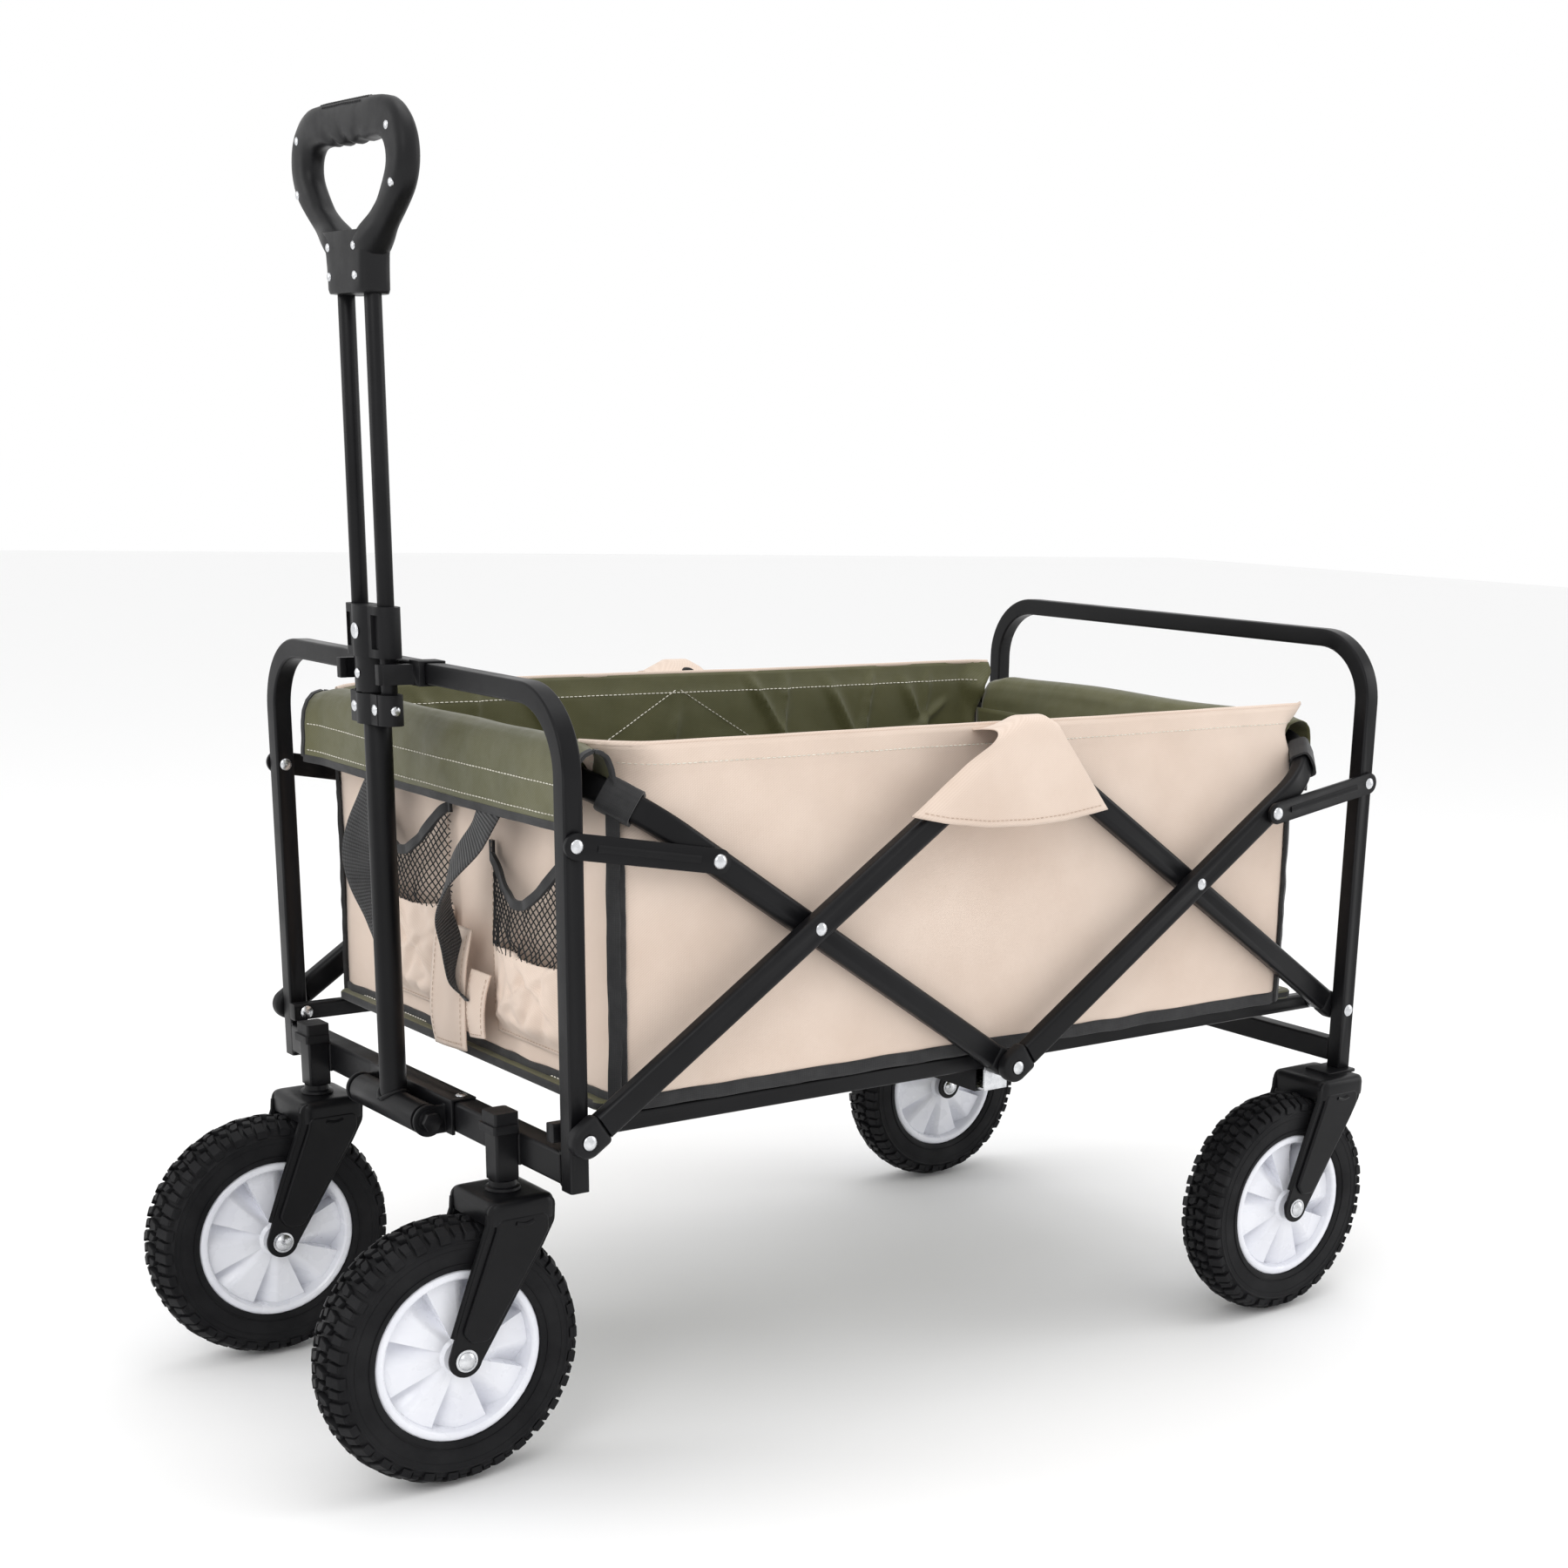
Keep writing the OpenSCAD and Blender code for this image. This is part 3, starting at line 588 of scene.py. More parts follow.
            # wall up to the rim, the rolled rim itself, and its seat in the tyre
            for r, q in ((0.0566, 0.0060 if dep > 0.5 else 0.0136), (0.0572, 0.0160), (0.0580, 0.0184), (0.0592, 0.0195), (0.0606, 0.0198), (0.0622, 0.0196), (0.0636, 0.0190), (0.0646, 0.0178), (0.0650, 0.0150), (0.0650, 0.0)):
                vs.append((c[0] + r * cos(a), c[1] + sg * q, c[2] + r * sin(a)))
        row = len(rs) + 10
        m = len(cols)
        for i in range(m):
            j = (i + 1) % m
            for k in range(row - 1):
                f = (i * row + k, i * row + k + 1, j * row + k + 1, j * row + k)
                fs.append(f if sg > 0 else f[::-1])
        hs.add(vs, fs)
    hb = hs.mesh("fan_hub_" + tag, hubmat, body, slot_name="white_hub", sharp=27)
    fixnormals(hb)
    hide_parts("hub_" + tag)


wheel("front_left", -0.3835, 0.158)
wheel("front_right", -0.3835, -0.158)
wheel("rear_left", 0.3835, 0.2485)
wheel("rear_right", 0.3835, -0.2485)


# ---------------------------------------------------------------- forks
def fork(tag, nodes, sx, sy, body, rear):
    def place(x, y, z):
        return (sx + x, sy + y, z)

    mm = 0.001
    A = (-48 * mm, 100 * mm)
    R = 13 * mm
    arc = [(A[0] + R * cos(math.radians(t)), A[1] + R * sin(math.radians(t))) for t in range(-196, -12, 12)]
    top = 212.4
    right = [(-34.8 * mm, 98 * mm), (16 * mm, 176 * mm), (25.5 * mm, 193 * mm), (26.5 * mm, top * mm), (-26.5 * mm, top * mm), (-28.5 * mm, 196 * mm)]
    right = right[1:]
    rounded = round_poly([arc[-1]] + right + [arc[0]], [0, 20 * mm, 12 * mm, 7 * mm, 7 * mm, 10 * mm, 0], 6)
    poly = arc + rounded[1:-1]
    pad = round_poly([(-30.5 * mm, 112 * mm), (10 * mm, 172 * mm), (19.5 * mm, 188 * mm), (19.0 * mm, 201 * mm), (-20.5 * mm, 201 * mm), (-22.5 * mm, 192 * mm), (-50.5 * mm, 121 * mm), (-44 * mm, 112 * mm)],
                     [7 * mm, 18 * mm, 9 * mm, 5 * mm, 5 * mm, 12 * mm, 6 * mm, 7 * mm], 6)
    obs = []
    for s in (1, -1):
        obs.append(plate(f"fork_plate_{tag}_{'l' if s > 0 else 'r'}", poly, s * 26.1 * mm, s * 29.2 * mm, coat, body, "black_coat", place, .0008, 3))
        obs.append(plate(f"fork_rib_{tag}_{'l' if s > 0 else 'r'}", pad, s * 28.4 * mm, s * 32.2 * mm, coat, body, "black_coat", place, .0021, 5))
        # pressed dimple near the crown
        vs, fs = tube([place(-7 * mm + 14 * mm * k / 8, s * 31.6 * mm, 196.5 * mm - 1.6 * mm * sin(pi * k / 8)) for k in range(9)], 1.9 * mm, 8, up=(0, s, 0))
        obs.append(mk(f"fork_dimple_{tag}_{'l' if s > 0 else 'r'}", vs, fs, coat, body, "black_coat"))
        # turned-in flange on the leading and trailing edges
        for nm, pts in (("a", [(-27.4, 205), (-28.2, 196), (-44, 155), (-57.6, 118)]), ("b", [(25.6, 205), (24.4, 193), (13, 174), (-14, 133), (-31, 107)])):
            q = [place(px * mm + (1.0 * mm if nm == "a" else -1.0 * mm), s * 27.2 * mm, pz * mm) for px, pz in pts]
            fine = []
            for i in range(len(q) - 1):
                for k in range(6):
                    fine.append(Vector(q[i]).lerp(Vector(q[i + 1]), k / 6))
            fine.append(Vector(q[-1]))
            vs, fs = tube(fine, 2.2 * mm, 8, up=(0, 1, 0))
            obs.append(mk(f"fork_edge_{nm}_{tag}_{'l' if s > 0 else 'r'}", vs, fs, coat, body, "black_coat"))
    # crown: a pressed cap with rounded shoulders, open below
    x0, x1 = -27 * mm, (30 if rear else 27) * mm
    rings = []
    for z, ins in ((196.0, 0.3), (199.0, 0.0), (207.0, 0.0), (210.2, 0.7), (212.2, 2.2), (213.2, 5.2), (213.4, 9.0)):
        rect = [(x0 + ins * mm, -(31.6 - ins) * mm), (x1 - ins * mm, -(31.6 - ins) * mm), (x1 - ins * mm, (31.6 - ins) * mm), (x0 + ins * mm, (31.6 - ins) * mm)]
        rp = round_poly(rect, max(2.0, 9.0 - ins) * mm, 6)
        rings.append([place(p[0], p[1], z * mm) for p in rp])
    n = len(rings[0])
    vs = [p for r in rings for p in r]
    fs = [(k * n + i, k * n + (i + 1) % n, (k + 1) * n + (i + 1) % n, (k + 1) * n + i) for k in range(len(rings) - 1) for i in range(n)]
    fs.append(tuple((len(rings) - 1) * n + i for i in range(n)))
    # the side skirt is cut short between the legs, front and back, by an inner shell
    inner = []
    for z, ins in ((196.0, 2.4), (209.5, 2.4)):
        rect = [(x0 + ins * mm, -(31.6 - ins) * mm), (x1 - ins * mm, -(31.6 - ins) * mm), (x1 - ins * mm, (31.6 - ins) * mm), (x0 + ins * mm, (31.6 - ins) * mm)]
        rp = round_poly(rect, 6.6 * mm, 6)
        inner.append([place(p[0], p[1], z * mm) for p in rp])
    o = len(vs)
    vs += inner[0] + inner[1]
    fs += [(i, o + i, o + (i + 1) % n, (i + 1) % n) for i in range(n)]
    fs += [(o + i, o + n + i, o + n + (i + 1) % n, o + (i + 1) % n) for i in range(n)]
    fs.append(tuple(o + n + i for i in range(n)))
    cr = mk(f"fork_crown_{tag}", vs, fs, coat, body, "black_coat", sharp=40)
    fixnormals(cr)
    obs.append(cr)
    # collar round the stem
    if not rear:
        cvs, cfs = [], []
        prof = [(0.0125, 0.2130), (0.0130, 0.2140), (0.0125, 0.2158), (0.0100, 0.2165), (0.0096, 0.2205), (0.0055, 0.2208)]
        seg = 40
        for i in range(seg):
            a = 2 * pi * i / seg
            for r, z in prof:
                cvs.append((sx + r * cos(a), sy + r * sin(a), z))
        k = len(prof)
        for i in range(seg):
            for m in range(k - 1):
                cfs.append((i * k + m, ((i + 1) % seg) * k + m, ((i + 1) % seg) * k + m + 1, i * k + m + 1))
        obs.append(mk(f"fork_collar_{tag}", cvs, cfs, coat, body, "black_coat"))
    else:
        pts = round_poly([(sx - 2 * mm, sy - 15.5 * mm), (sx + 34 * mm, sy - 15.5 * mm), (sx + 34 * mm, sy + 15.5 * mm), (sx - 2 * mm, sy + 15.5 * mm)], 3 * mm, 4)
        sp = Soup()
        sp.prism([(p[0], p[1], .2120) for p in pts], [(p[0], p[1], .2149) for p in pts])
        obs.append(sp.mesh(f"fork_pad_{tag}", coat, body, slot_name="black_coat", bevel=.0008))
    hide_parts(*nodes)
    return obs


fork("cl", ["caster_fork_left"], -0.3355, 0.158, "caster_left", False)
fork("cr", ["caster_fork_right"], -0.3355, -0.158, "caster_right", False)
fork("rl", ["rear_forks"], 0.4315, 0.2485, "rear_frame", True)
fork("rr", ["rear_forks"], 0.4315, -0.2485, "rear_frame", True)


# ---------------------------------------------------------------- small hardware
def dome_mesh(sp, centre, axis, r, h, seg=20, rings=5, foot=0.0):
    c, ax = Vector(centre), Vector(axis).normalized()
    u = ax.orthogonal().normalized()
    w = ax.cross(u)
    vs, fs = [], []
    prof = [(r, -foot), (r, 0.0)] + [(r * cos(pi / 2 * k / rings), h * sin(pi / 2 * k / rings)) for k in range(1, rings)]
    for rr, hh in prof:
        for i in range(seg):
            a = 2 * pi * i / seg
            vs.append(c + u * (rr * cos(a)) + w * (rr * sin(a)) + ax * hh)
    vs.append(c + ax * h)
    k = len(prof)
    for m in range(k - 1):
        for i in range(seg):
            fs.append((m * seg + i, m * seg + (i + 1) % seg, (m + 1) * seg + (i + 1) % seg, (m + 1) * seg + i))
    top = len(vs) - 1
    for i in range(seg):
        fs.append(((k - 1) * seg + i, (k - 1) * seg + (i + 1) % seg, top))
    sp.add(vs, fs)


HX, HZ = -0.3425, 0.241
sp = Soup()
for s in (-1, 1):
    dome_mesh(sp, (HX - 0.0098, s * 0.0165, 0.541), (-1, 0, 0), .0042, .0016)
for s in (-1, 1):
    dome_mesh(sp, (HX, s * 0.0304, 0.541), (0, s, 0), .0036, .0014)
sp.mesh("lower_collar_rivets", zinc, "handle_slider", slot_name="zinc", sharp=50)
sp = Soup()
dome_mesh(sp, (HX - 0.0141, 0, 0.566), (-1, 0, 0), .0036, .0014)
dome_mesh(sp, (HX - 0.0148, 0, 0.596), (-1, 0, 0), .0058, .0012)
sp.mesh("upper_collar_rivets", zinc, "handle_arm", slot_name="zinc", sharp=50)
sp = Soup()
for s in (-1, 1):
    dome_mesh(sp, (XF + 0.0020, s * 0.0600, 0.2574), (0, 0, 1), .0044, .0018)
sp.mesh("bracket_rivets", zinc, "front_frame", slot_name="zinc", sharp=50)


def weld(name, ring, body, r=.0017, seed=0.0, closed=True):
    vs, fs = [], []
    pts = [Vector(p) for p in ring]
    v0, f0 = tube(pts, r, 8, closed=closed)
    c = sum(pts, Vector()) / len(pts)
    for v in v0:
        d = nz(v.x * 420, v.y * 420, v.z * 420 + seed)
        vs.append(v + (v - c).normalized() * (d * r * 0.45))
    return mk(name, vs, f0, coat, body, "black_coat", sharp=80)


weld("weld_handle", [(HX + .0108 * cos(a * pi / 24), .0108 * sin(a * pi / 24), HZ + math.sqrt(max(0, .012 ** 2 - (.0108 * cos(a * pi / 24)) ** 2)) + .0004) for a in range(48)], "handle_arm", .0019)
for s in (-1, 1):
    weld(f"weld_post_{'l' if s > 0 else 'r'}", [(-0.3355 + .0092, s * .158 + t, z) for t, z in ((-.0088, .232), (-.0090, .238), (-.0090, .246), (-.0088, .2545), (-.004, .2552), (.004, .2552), (.0088, .2545), (.0090, .246), (.0090, .238), (.0088, .232))], "front_frame", .0014, 3.0, False)
    for zz, dz in ((0.2550, 1), (0.2320, -1)):
        weld(f"weld_leg_{'l' if s > 0 else 'r'}_{'t' if dz > 0 else 'b'}", [(XF - .0070 + .0145 * k / 9, s * .2248, zz) for k in range(10)], "front_frame", .0014, 5.0, False)
    weld(f"weld_rear_{'l' if s > 0 else 'r'}", [(XR - .0072 + .0145 * k / 9, s * .2412, .2402) for k in range(10)], "rear_frame", .0014, 7.0, False)

# long pressed bead on each link bar
LA = math.radians(9.45)
for nm, body, x0, sgn, yy in (("front", "front_link_pair", XF, 1, .2436), ("rear", "rear_link_pair", XR, -1, .2596)):
    sp = Soup()
    for s in (-1, 1):
        for side in (0,):
            pts = []
            for k in range(21):
                d = .016 + .083 * k / 20
                pts.append(Vector((x0 + sgn * d * cos(LA), s * (yy - .0004), .472 - d * sin(LA))))
            vs, fs = tube(pts, .0030, 12, flat=.38, up=(0, s, 0))
            sp.add(vs, fs)
    sp.mesh(f"{nm}_link_beads", coat, body, slot_name="black_coat", sharp=70)
    sp = Soup()
    for s in (-1, 1):
        dome_mesh(sp, (x0 + sgn * .11515 * cos(LA), s * (yy - .0003), .472 - .11515 * sin(LA)), (0, s, 0), .0056, .0030, foot=.0004)
    sp.mesh(f"{nm}_link_rivets", zinc, body, slot_name="zinc", sharp=50)

# ---------------------------------------------------------------- grip: a rounded D loop on a short neck
GT = 0.948


def hull_ray(circles, rect, a, cz):
    """distance from (0, cz) along angle a to the outside of the hull of circles joined to a neck rectangle"""
    best = 0.0
    d = Vector((cos(a), sin(a)))
    for i in range(len(circles)):
        for j in range(i, len(circles)):
            x1, z1, r1 = circles[i]
            x2, z2, r2 = circles[j]
            for t in range(0, 13):
                t /= 12
                x, z, r = x1 + (x2 - x1) * t, z1 + (z2 - z1) * t, r1 + (r2 - r1) * t
                px, pz = x, z - cz
                b = px * d.x + pz * d.y
                disc = b * b - (px * px + pz * pz - r * r)
                if disc >= 0:
                    best = max(best, b + math.sqrt(disc))
    if rect:
        hw, zlow = rect
        if d.y < 0:
            tt = (zlow - cz) / d.y
            if abs(tt * d.x) <= hw:
                best = max(best, tt)
            elif abs(d.x) > 1e-6:
                ts = hw / abs(d.x)
                if zlow <= cz + ts * d.y <= -70:
                    best = max(best, ts)
    return best


CZ = -46.0
outer_c = [(-52, -37, 36), (52, -37, 36), (-30, -30, 30), (30, -30, 30), (0, -31, 31), (-20, -86, 17), (20, -86, 17)]
hole_c = [(-47, -41, 14), (47, -41, 14), (-36, -54, 15), (36, -54, 15), (-7, -78, 9), (7, -78, 9)]
NA = 176
outs, holes, angs = [], [], []
for i in range(NA):
    a = 2 * pi * i / NA - pi / 2
    angs.append(a)
    outs.append(hull_ray(outer_c, None, a, CZ))
    h = hull_ray(hole_c, None, a, CZ)
    if sin(a) > 0.12:
        xh = h * cos(a)
        h += 1.5 * cos(xh / 9.2 * pi) * smooth((1 - abs(xh) / 44) * 3)
    holes.append(h)


def sm(v, k):
    for _ in range(k):
        v = [(v[i - 1] + 2 * v[i] + v[(i + 1) % len(v)]) / 4 for i in range(len(v))]
    return v


outs, holes = sm(outs, 3), sm(holes, 2)
vs, fs, uv = [], [], []
SEG = 28
for i in range(NA):
    a = angs[i]
    o = Vector((outs[i] * cos(a), CZ + outs[i] * sin(a)))
    h = Vector((holes[i] * cos(a), CZ + holes[i] * sin(a)))
    c = (o + h) / 2
    e = (o - h) / 2
    top = smooth((sin(a) - 0.1) / 0.5)
    T = 9.6 + 3.3 * smooth((-sin(a) - .55) / .35)
    for k in range(SEG):
        p = 2 * pi * k / SEG
        ex = 0.80
        cc = math.copysign(abs(cos(p)) ** ex, cos(p))
        ss = math.copysign(abs(sin(p)) ** ex, sin(p))
        q = c + e * cc
        t = T * ss
        # parting seam round the outside and the inside of the loop
        if k in (0, SEG // 2):
            q = c + e * cc * 0.988
        vs.append((HX + t * .001, q.x * .001, GT + q.y * .001))
for i in range(NA):
    for k in range(SEG):
        a, b = i * SEG + k, i * SEG + (k + 1) % SEG
        c, d = ((i + 1) % NA) * SEG + (k + 1) % SEG, ((i + 1) % NA) * SEG + k
        fs.append((a, b, c, d))
gsoup = Soup()
gsoup.add(vs, fs)
# neck
nk = []
rows = [(-84, 37.0), (-88, 34.6), (-93, 32.2), (-99, 30.6), (-106, 29.8), (-114, 29.3), (-121, 29.0), (-123.2, 28.4), (-124, 27.2)]
for z, hw in rows:
    T = 12.9 if z > -122 else 12.4
    for k in range(40):
        p = 2 * pi * k / 40
        cc = math.copysign(abs(cos(p)) ** 0.42, cos(p))
        ss = math.copysign(abs(sin(p)) ** 0.42, sin(p))
        nk.append((HX + T * ss * .001, hw * cc * .001, GT + z * .001))
nf = [(r * 40 + k, r * 40 + (k + 1) % 40, (r + 1) * 40 + (k + 1) % 40, (r + 1) * 40 + k) for r in range(len(rows) - 1) for k in range(40)]
nf.append(tuple(range(39, -1, -1)))
nf.append(tuple((len(rows) - 1) * 40 + k for k in range(40)))
gsoup.add(nk, nf)
gr = gsoup.mesh("grip_loop", grip_mat, "handle_slider", slot_name="black_plastic", sharp=60)
fixnormals(gr)
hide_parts("handle_grip")
# grid of small pips on top of the loop, where the palm rests
sp = Soup()
for i in range(-10, 11):
    for j in range(-3, 4):
        x, y = j * .0024, i * .0036
        if abs(i) > 8 and abs(j) > 2:
            continue
        best = min((k for k in range(NA) if sin(angs[k]) > 0), key=lambda k: abs(outs[k] * cos(angs[k]) - y * 1000))
        sp_ = min(1.0, abs(x) / .0096) ** (1 / .80)
        cc_ = math.sqrt(max(0.0, 1 - sp_ * sp_)) ** .80
        zo, zh = CZ + outs[best] * sin(angs[best]), CZ + holes[best] * sin(angs[best])
        zz = GT + ((zo + zh) / 2 + (zo - zh) / 2 * cc_) * .001
        dome_mesh(sp, (HX + x, y, zz - .0004), (x * 40, 0, 1), .0012, .0009, 8, 2, .0006)
sp.mesh("grip_pips", grip_mat, "handle_slider", slot_name="black_plastic", sharp=80)
# small screws on the grip's face
sp = Soup()
for y, z in ((-70, -22), (70, -22), (-73, -57), (73, -57), (-20, -94), (20, -94), (-20, -113), (20, -113)):
    dome_mesh(sp, (HX - (.0092 if z > -80 else .0126), y * .001, GT + z * .001), (-1, 0, 0), .0029, .0012, 20, 5, .002)
gs = sp.mesh("grip_screw_heads", zinc, "handle_slider", slot_name="zinc", sharp=50)
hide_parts("grip_screws")


# ---------------------------------------------------------------- cloth
ZB, ZH = 0.2770, 0.5345            # bottom edge and hem of the side walls


def tub_y(x, z):
    """half width of the side wall: flat, drawn in round the inside of the arm tube bends"""
    y = 0.2222
    for hx_, hz_, sg, yc in ((HFX, HFZ, 1, .2335), (HRX, HRZ, -1, .2475)):
        R = .07
        dx, dz = (x - hx_) * sg, z - hz_
        s = dx * cos(TH) - dz * sin(TH)
        n = dx * sin(TH) + dz * cos(TH)
        if s < .075:
            s_ = min(R, max(s, .0150))
            lim = (yc - R) + math.sqrt(max(0.0, (R - .0065) ** 2 - (R - s_) ** 2)) - .0030
            w = 1 - smooth((abs(n) - .0135) / .030)
            if lim < y:
                y = y - (y - lim) * w
    return y


def x_front(z):
    return -0.2735 - 0.0130 * smooth((z - .505) / .026)


def x_rear(z):
    return 0.3990 + 0.0125 * smooth((z - .512) / .020)


def hem_z(t):
    return ZH + 0.0012 * sin(pi * t) ** 2 + 0.0035 * smooth((t - .55) / .45)


def side_point(s, t, v, off=0.0, lining=False):
    z = ZB + (hem_z(t) - ZB) * v
    x0, x1 = x_front(z), x_rear(z)
    x = x0 + (x1 - x0) * t
    y = tub_y(x, z)
    edge = 1 - smooth(min((x - x0) / .012, (x1 - x) / .012))
    y -= .0050 * edge
    if not lining:
        y += .0010 * nz(x * 9, z * 14, s * 3.1) + .0006 * nz(x * 34, z * 22, s * 7.7)
        # slight pull lines running from the arm crossings
        y += .0006 * sin((x * .8 + z) * 95) * smooth((z - .44) / .08)
    else:
        y -= crease(x, z, s)
    return (x, s * (y + off), z)


CREASES = [(-.20, .52, -.13, .40, .010, .0075), (-.15, .53, -.16, .43, .008, .005), (-.10, .52, -.02, .41, .010, .006), (.05, .50, .02, .38, .011, .005), (.13, .53, .20, .42, .009, .0080),
           (.17, .535, .16, .44, .008, .006), (.22, .52, .29, .40, .011, .0085), (.27, .53, .25, .43, .009, .007), (.31, .52, .36, .42, .009, .0075), (.34, .53, .33, .45, .007, .005),
           (-.23, .50, -.25, .36, .010, .005), (.10, .46, .30, .41, .014, .005), (-.22, .45, -.05, .38, .014, .004), (.36, .50, .30, .46, .008, .005)]


def crease(x, z, s):
    h = 0.0015 + 0.0022 * (nz(x * 13, z * 15, 4.2 + s) + .5) + .0010 * nz(x * 40, z * 36, 9.0)
    for x1, z1, x2, z2, w, amp in CREASES:
        ux, uz = x2 - x1, z2 - z1
        L2 = ux * ux + uz * uz
        t = ((x - x1) * ux + (z - z1) * uz) / L2
        d = abs((x - x1) * uz - (z - z1) * ux) / math.sqrt(L2)
        k = max(0.0, 1 - d / w)
        h += amp * k * k * smooth(min(1, max(0, (t + .15) / .3))) * smooth(min(1, max(0, (1.15 - t) / .3)))
    return h * smooth((z - .30) / .08) * smooth((.545 - z) / .03) * smooth((x + .272) / .03) * smooth((.392 - x) / .03)


def sheet_uv(vs, fn):
    return [fn(Vector(p)) for p in vs]


for s, tag in ((-1, "right"), (1, "left")):
    # outer beige wall with a doubled hem
    vs, fs = grid(150, 64, lambda u, v: side_point(s, u, v, .0008 + (.0007 * smooth((v - .925) / .01))))
    uv = [(p[0], p[2]) for p in vs]
    outer = mk(f"side_wall_{tag}", vs, fs, beige, "side_cloth", "beige_cloth", uvs=uv, thick=.0007, sharp=70)
    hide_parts("side_panels")
    # olive lining
    vs, fs = grid(190, 84, lambda u, v: side_point(s, u, v, -.0008 - .0010 * (1 - smooth((v - .93) / .02)), True))
    lining = mk(f"side_lining_{tag}", vs, fs, olive, "side_cloth", "olive_cloth", uvs=[(p[0], p[2]) for p in vs], thick=.0007, sharp=70)
    # rolled hem edge joining the two
    pts = [side_point(s, k / 110, 1.0, 0.0) for k in range(111)]
    pts = [(p[0], p[1], p[2] + .0002) for p in pts]
    v2, f2 = tube(pts, .0020, 10, flat=.62, up=(0, s, 0))
    hem = mk(f"side_hem_{tag}", v2, f2, beige, "side_cloth", "beige_cloth", uvs=[(p.x, p.z) for p in map(Vector, v2)], sharp=80)
    # black tape along the bottom and down both corners
    def low(k, off=.0012):
        p = side_point(s, k, 0.004)
        return (p[0], p[1] + s * off, p[2] + .0035 + .0012 * nz(k * 19, s * 5.0))
    bot = band([low(k / 120) for k in range(121)], .0105, .0022, (0, s, 0), binding, f"side_binding_bottom_{tag}", "side_cloth", "black_webbing", .0006)
    corner = []
    for nm, tt in (("front", 0.0), ("rear", 1.0)):
        pts = []
        vmax = .70 if nm == "front" else .74
        for k in range(41):
            v = k / 40 * vmax
            p = side_point(s, tt, v)
            pts.append((p[0] + (.0010 if tt else -.0010) + .0010 * nz(k * .31, s * 2.0, tt), p[1] + s * .0020, p[2]))
        nrm = Vector(((.75 if tt else -.75), s * 1.0, 0))
        cb = band(pts, .0125, .0030, nrm, binding, f"side_binding_{nm}_{tag}", "side_cloth", "black_webbing", .0008)
        corner.append(cb)
    st = stitches([(lambda t, q=q, s=s: side_point(s, .004 + .992 * t, q, .0019), (0, s, 0), 160) for q in (.945,)], f"side_stitch_outer_{tag}", "side_cloth", "beige_cloth", thread if s > 0 else thread)
    st2 = stitches([(lambda t, q=q, s=s: side_point(s, .012 + .976 * t, q, -.0030, True), (0, -s, 0), 160) for q in (.935,)], f"side_stitch_lining_{tag}", "side_cloth", "olive_cloth")
    vees = []
    for (xa, za), (xb, zb) in (((.050, .522), (-.090, .440)), ((.052, .522), (.190, .440))):
        def vee(t, xa=xa, za=za, xb=xb, zb=zb, s=s):
            x, z = xa + (xb - xa) * t, za + (zb - za) * t
            return (x, s * (tub_y(x, z) - crease(x, z, s) - .0026), z)
        vees.append((vee, (0, -s, 0), 60))
    st3 = stitches(vees, f"lining_vee_stitch_{tag}", "side_cloth", "olive_cloth")
    # the lining's lower edge turns in over the floor boards and closes the tub
    TI = [(.2196, .2960), (.2180, .2892), (.2128, .2864), (.2000, .2855), (.1860, .2853)]

    def turn(u, v, s=s):
        q = v * (len(TI) - 1)
        i = min(int(q), len(TI) - 2)
        y, z = (TI[i][k] + (TI[i + 1][k] - TI[i][k]) * (q - i) for k in (0, 1))
        x0, x1 = x_front(.285) + .004, x_rear(.285) - .004
        x = x0 + (x1 - x0) * u
        return (x, s * (y + .0012 * nz(x * 14, s * 2.0) * v), z + .0005 * (1 + nz(x * 18, v * 3, s * 4.0)) * (1 - v) * v * 2)
    tv, tf = grid(110, 16, turn)
    turned = mk(f"side_lining_turn_{tag}", tv, tf, olive, "side_cloth", "olive_cloth", uvs=[(q[0], q[1]) for q in tv], thick=.0006, sharp=75)
    for o in [outer, lining, hem, bot, st, st2, st3, turned] + corner:
        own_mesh(o)

# ---- front wall, with its olive fold over the arm's cross tube
FW = .2130


def front_wall(u, v, off=0.0):
    y = -FW - .0035 + 2 * (FW + .0035) * u
    z = .2780 + (.500 - .2780) * v
    edge = 1 - smooth(min(u, 1 - u) / .035)
    x = -.2778 + .0022 * edge - .0016 * (nz(y * 9, z * 11, 2.2) + .2) - .0006 * nz(y * 33, z * 25)
    x -= .0022 * smooth((.34 - z) / .05) * (nz(y * 16, 3.3) + .2)
    return (x - off, y, z)


vs, fs = grid(90, 44, front_wall)
fwall = mk("front_wall", vs, fs, beige, "front_cloth", "beige_cloth", uvs=[(p[1], p[2]) for p in vs], thick=.0007, sharp=70)


def front_lin(u, v):
    y = -FW + 2 * FW * u
    z = .2880 + (.520 - .2880) * v
    return (-.2738 + .0030 * (nz(y * 12, z * 13, 8.1) + .45) * smooth((v - .05) / .2) * smooth((1.0 - v) / .1), y, z)


vs, fs = grid(90, 50, front_lin)
flin = mk("front_lining", vs, fs, olive, "front_cloth", "olive_cloth", uvs=[(p[1], p[2]) for p in vs], thick=.0007, sharp=70)

FP = [(-.2736, .470), (-.2737, .500), (-.2738, .514), (-.2745, .524), (-.2775, .5315), (-.2830, .5352), (-.2895, .5352), (-.2955, .5322), (-.3000, .5262), (-.3025, .5170), (-.3036, .508), (-.3040, .500), (-.3042, .492), (-.3042, .485), (-.3038, .4785)]
FL = [0.0]
for i in range(1, len(FP)):
    FL.append(FL[-1] + (Vector(FP[i]) - Vector(FP[i - 1])).length)


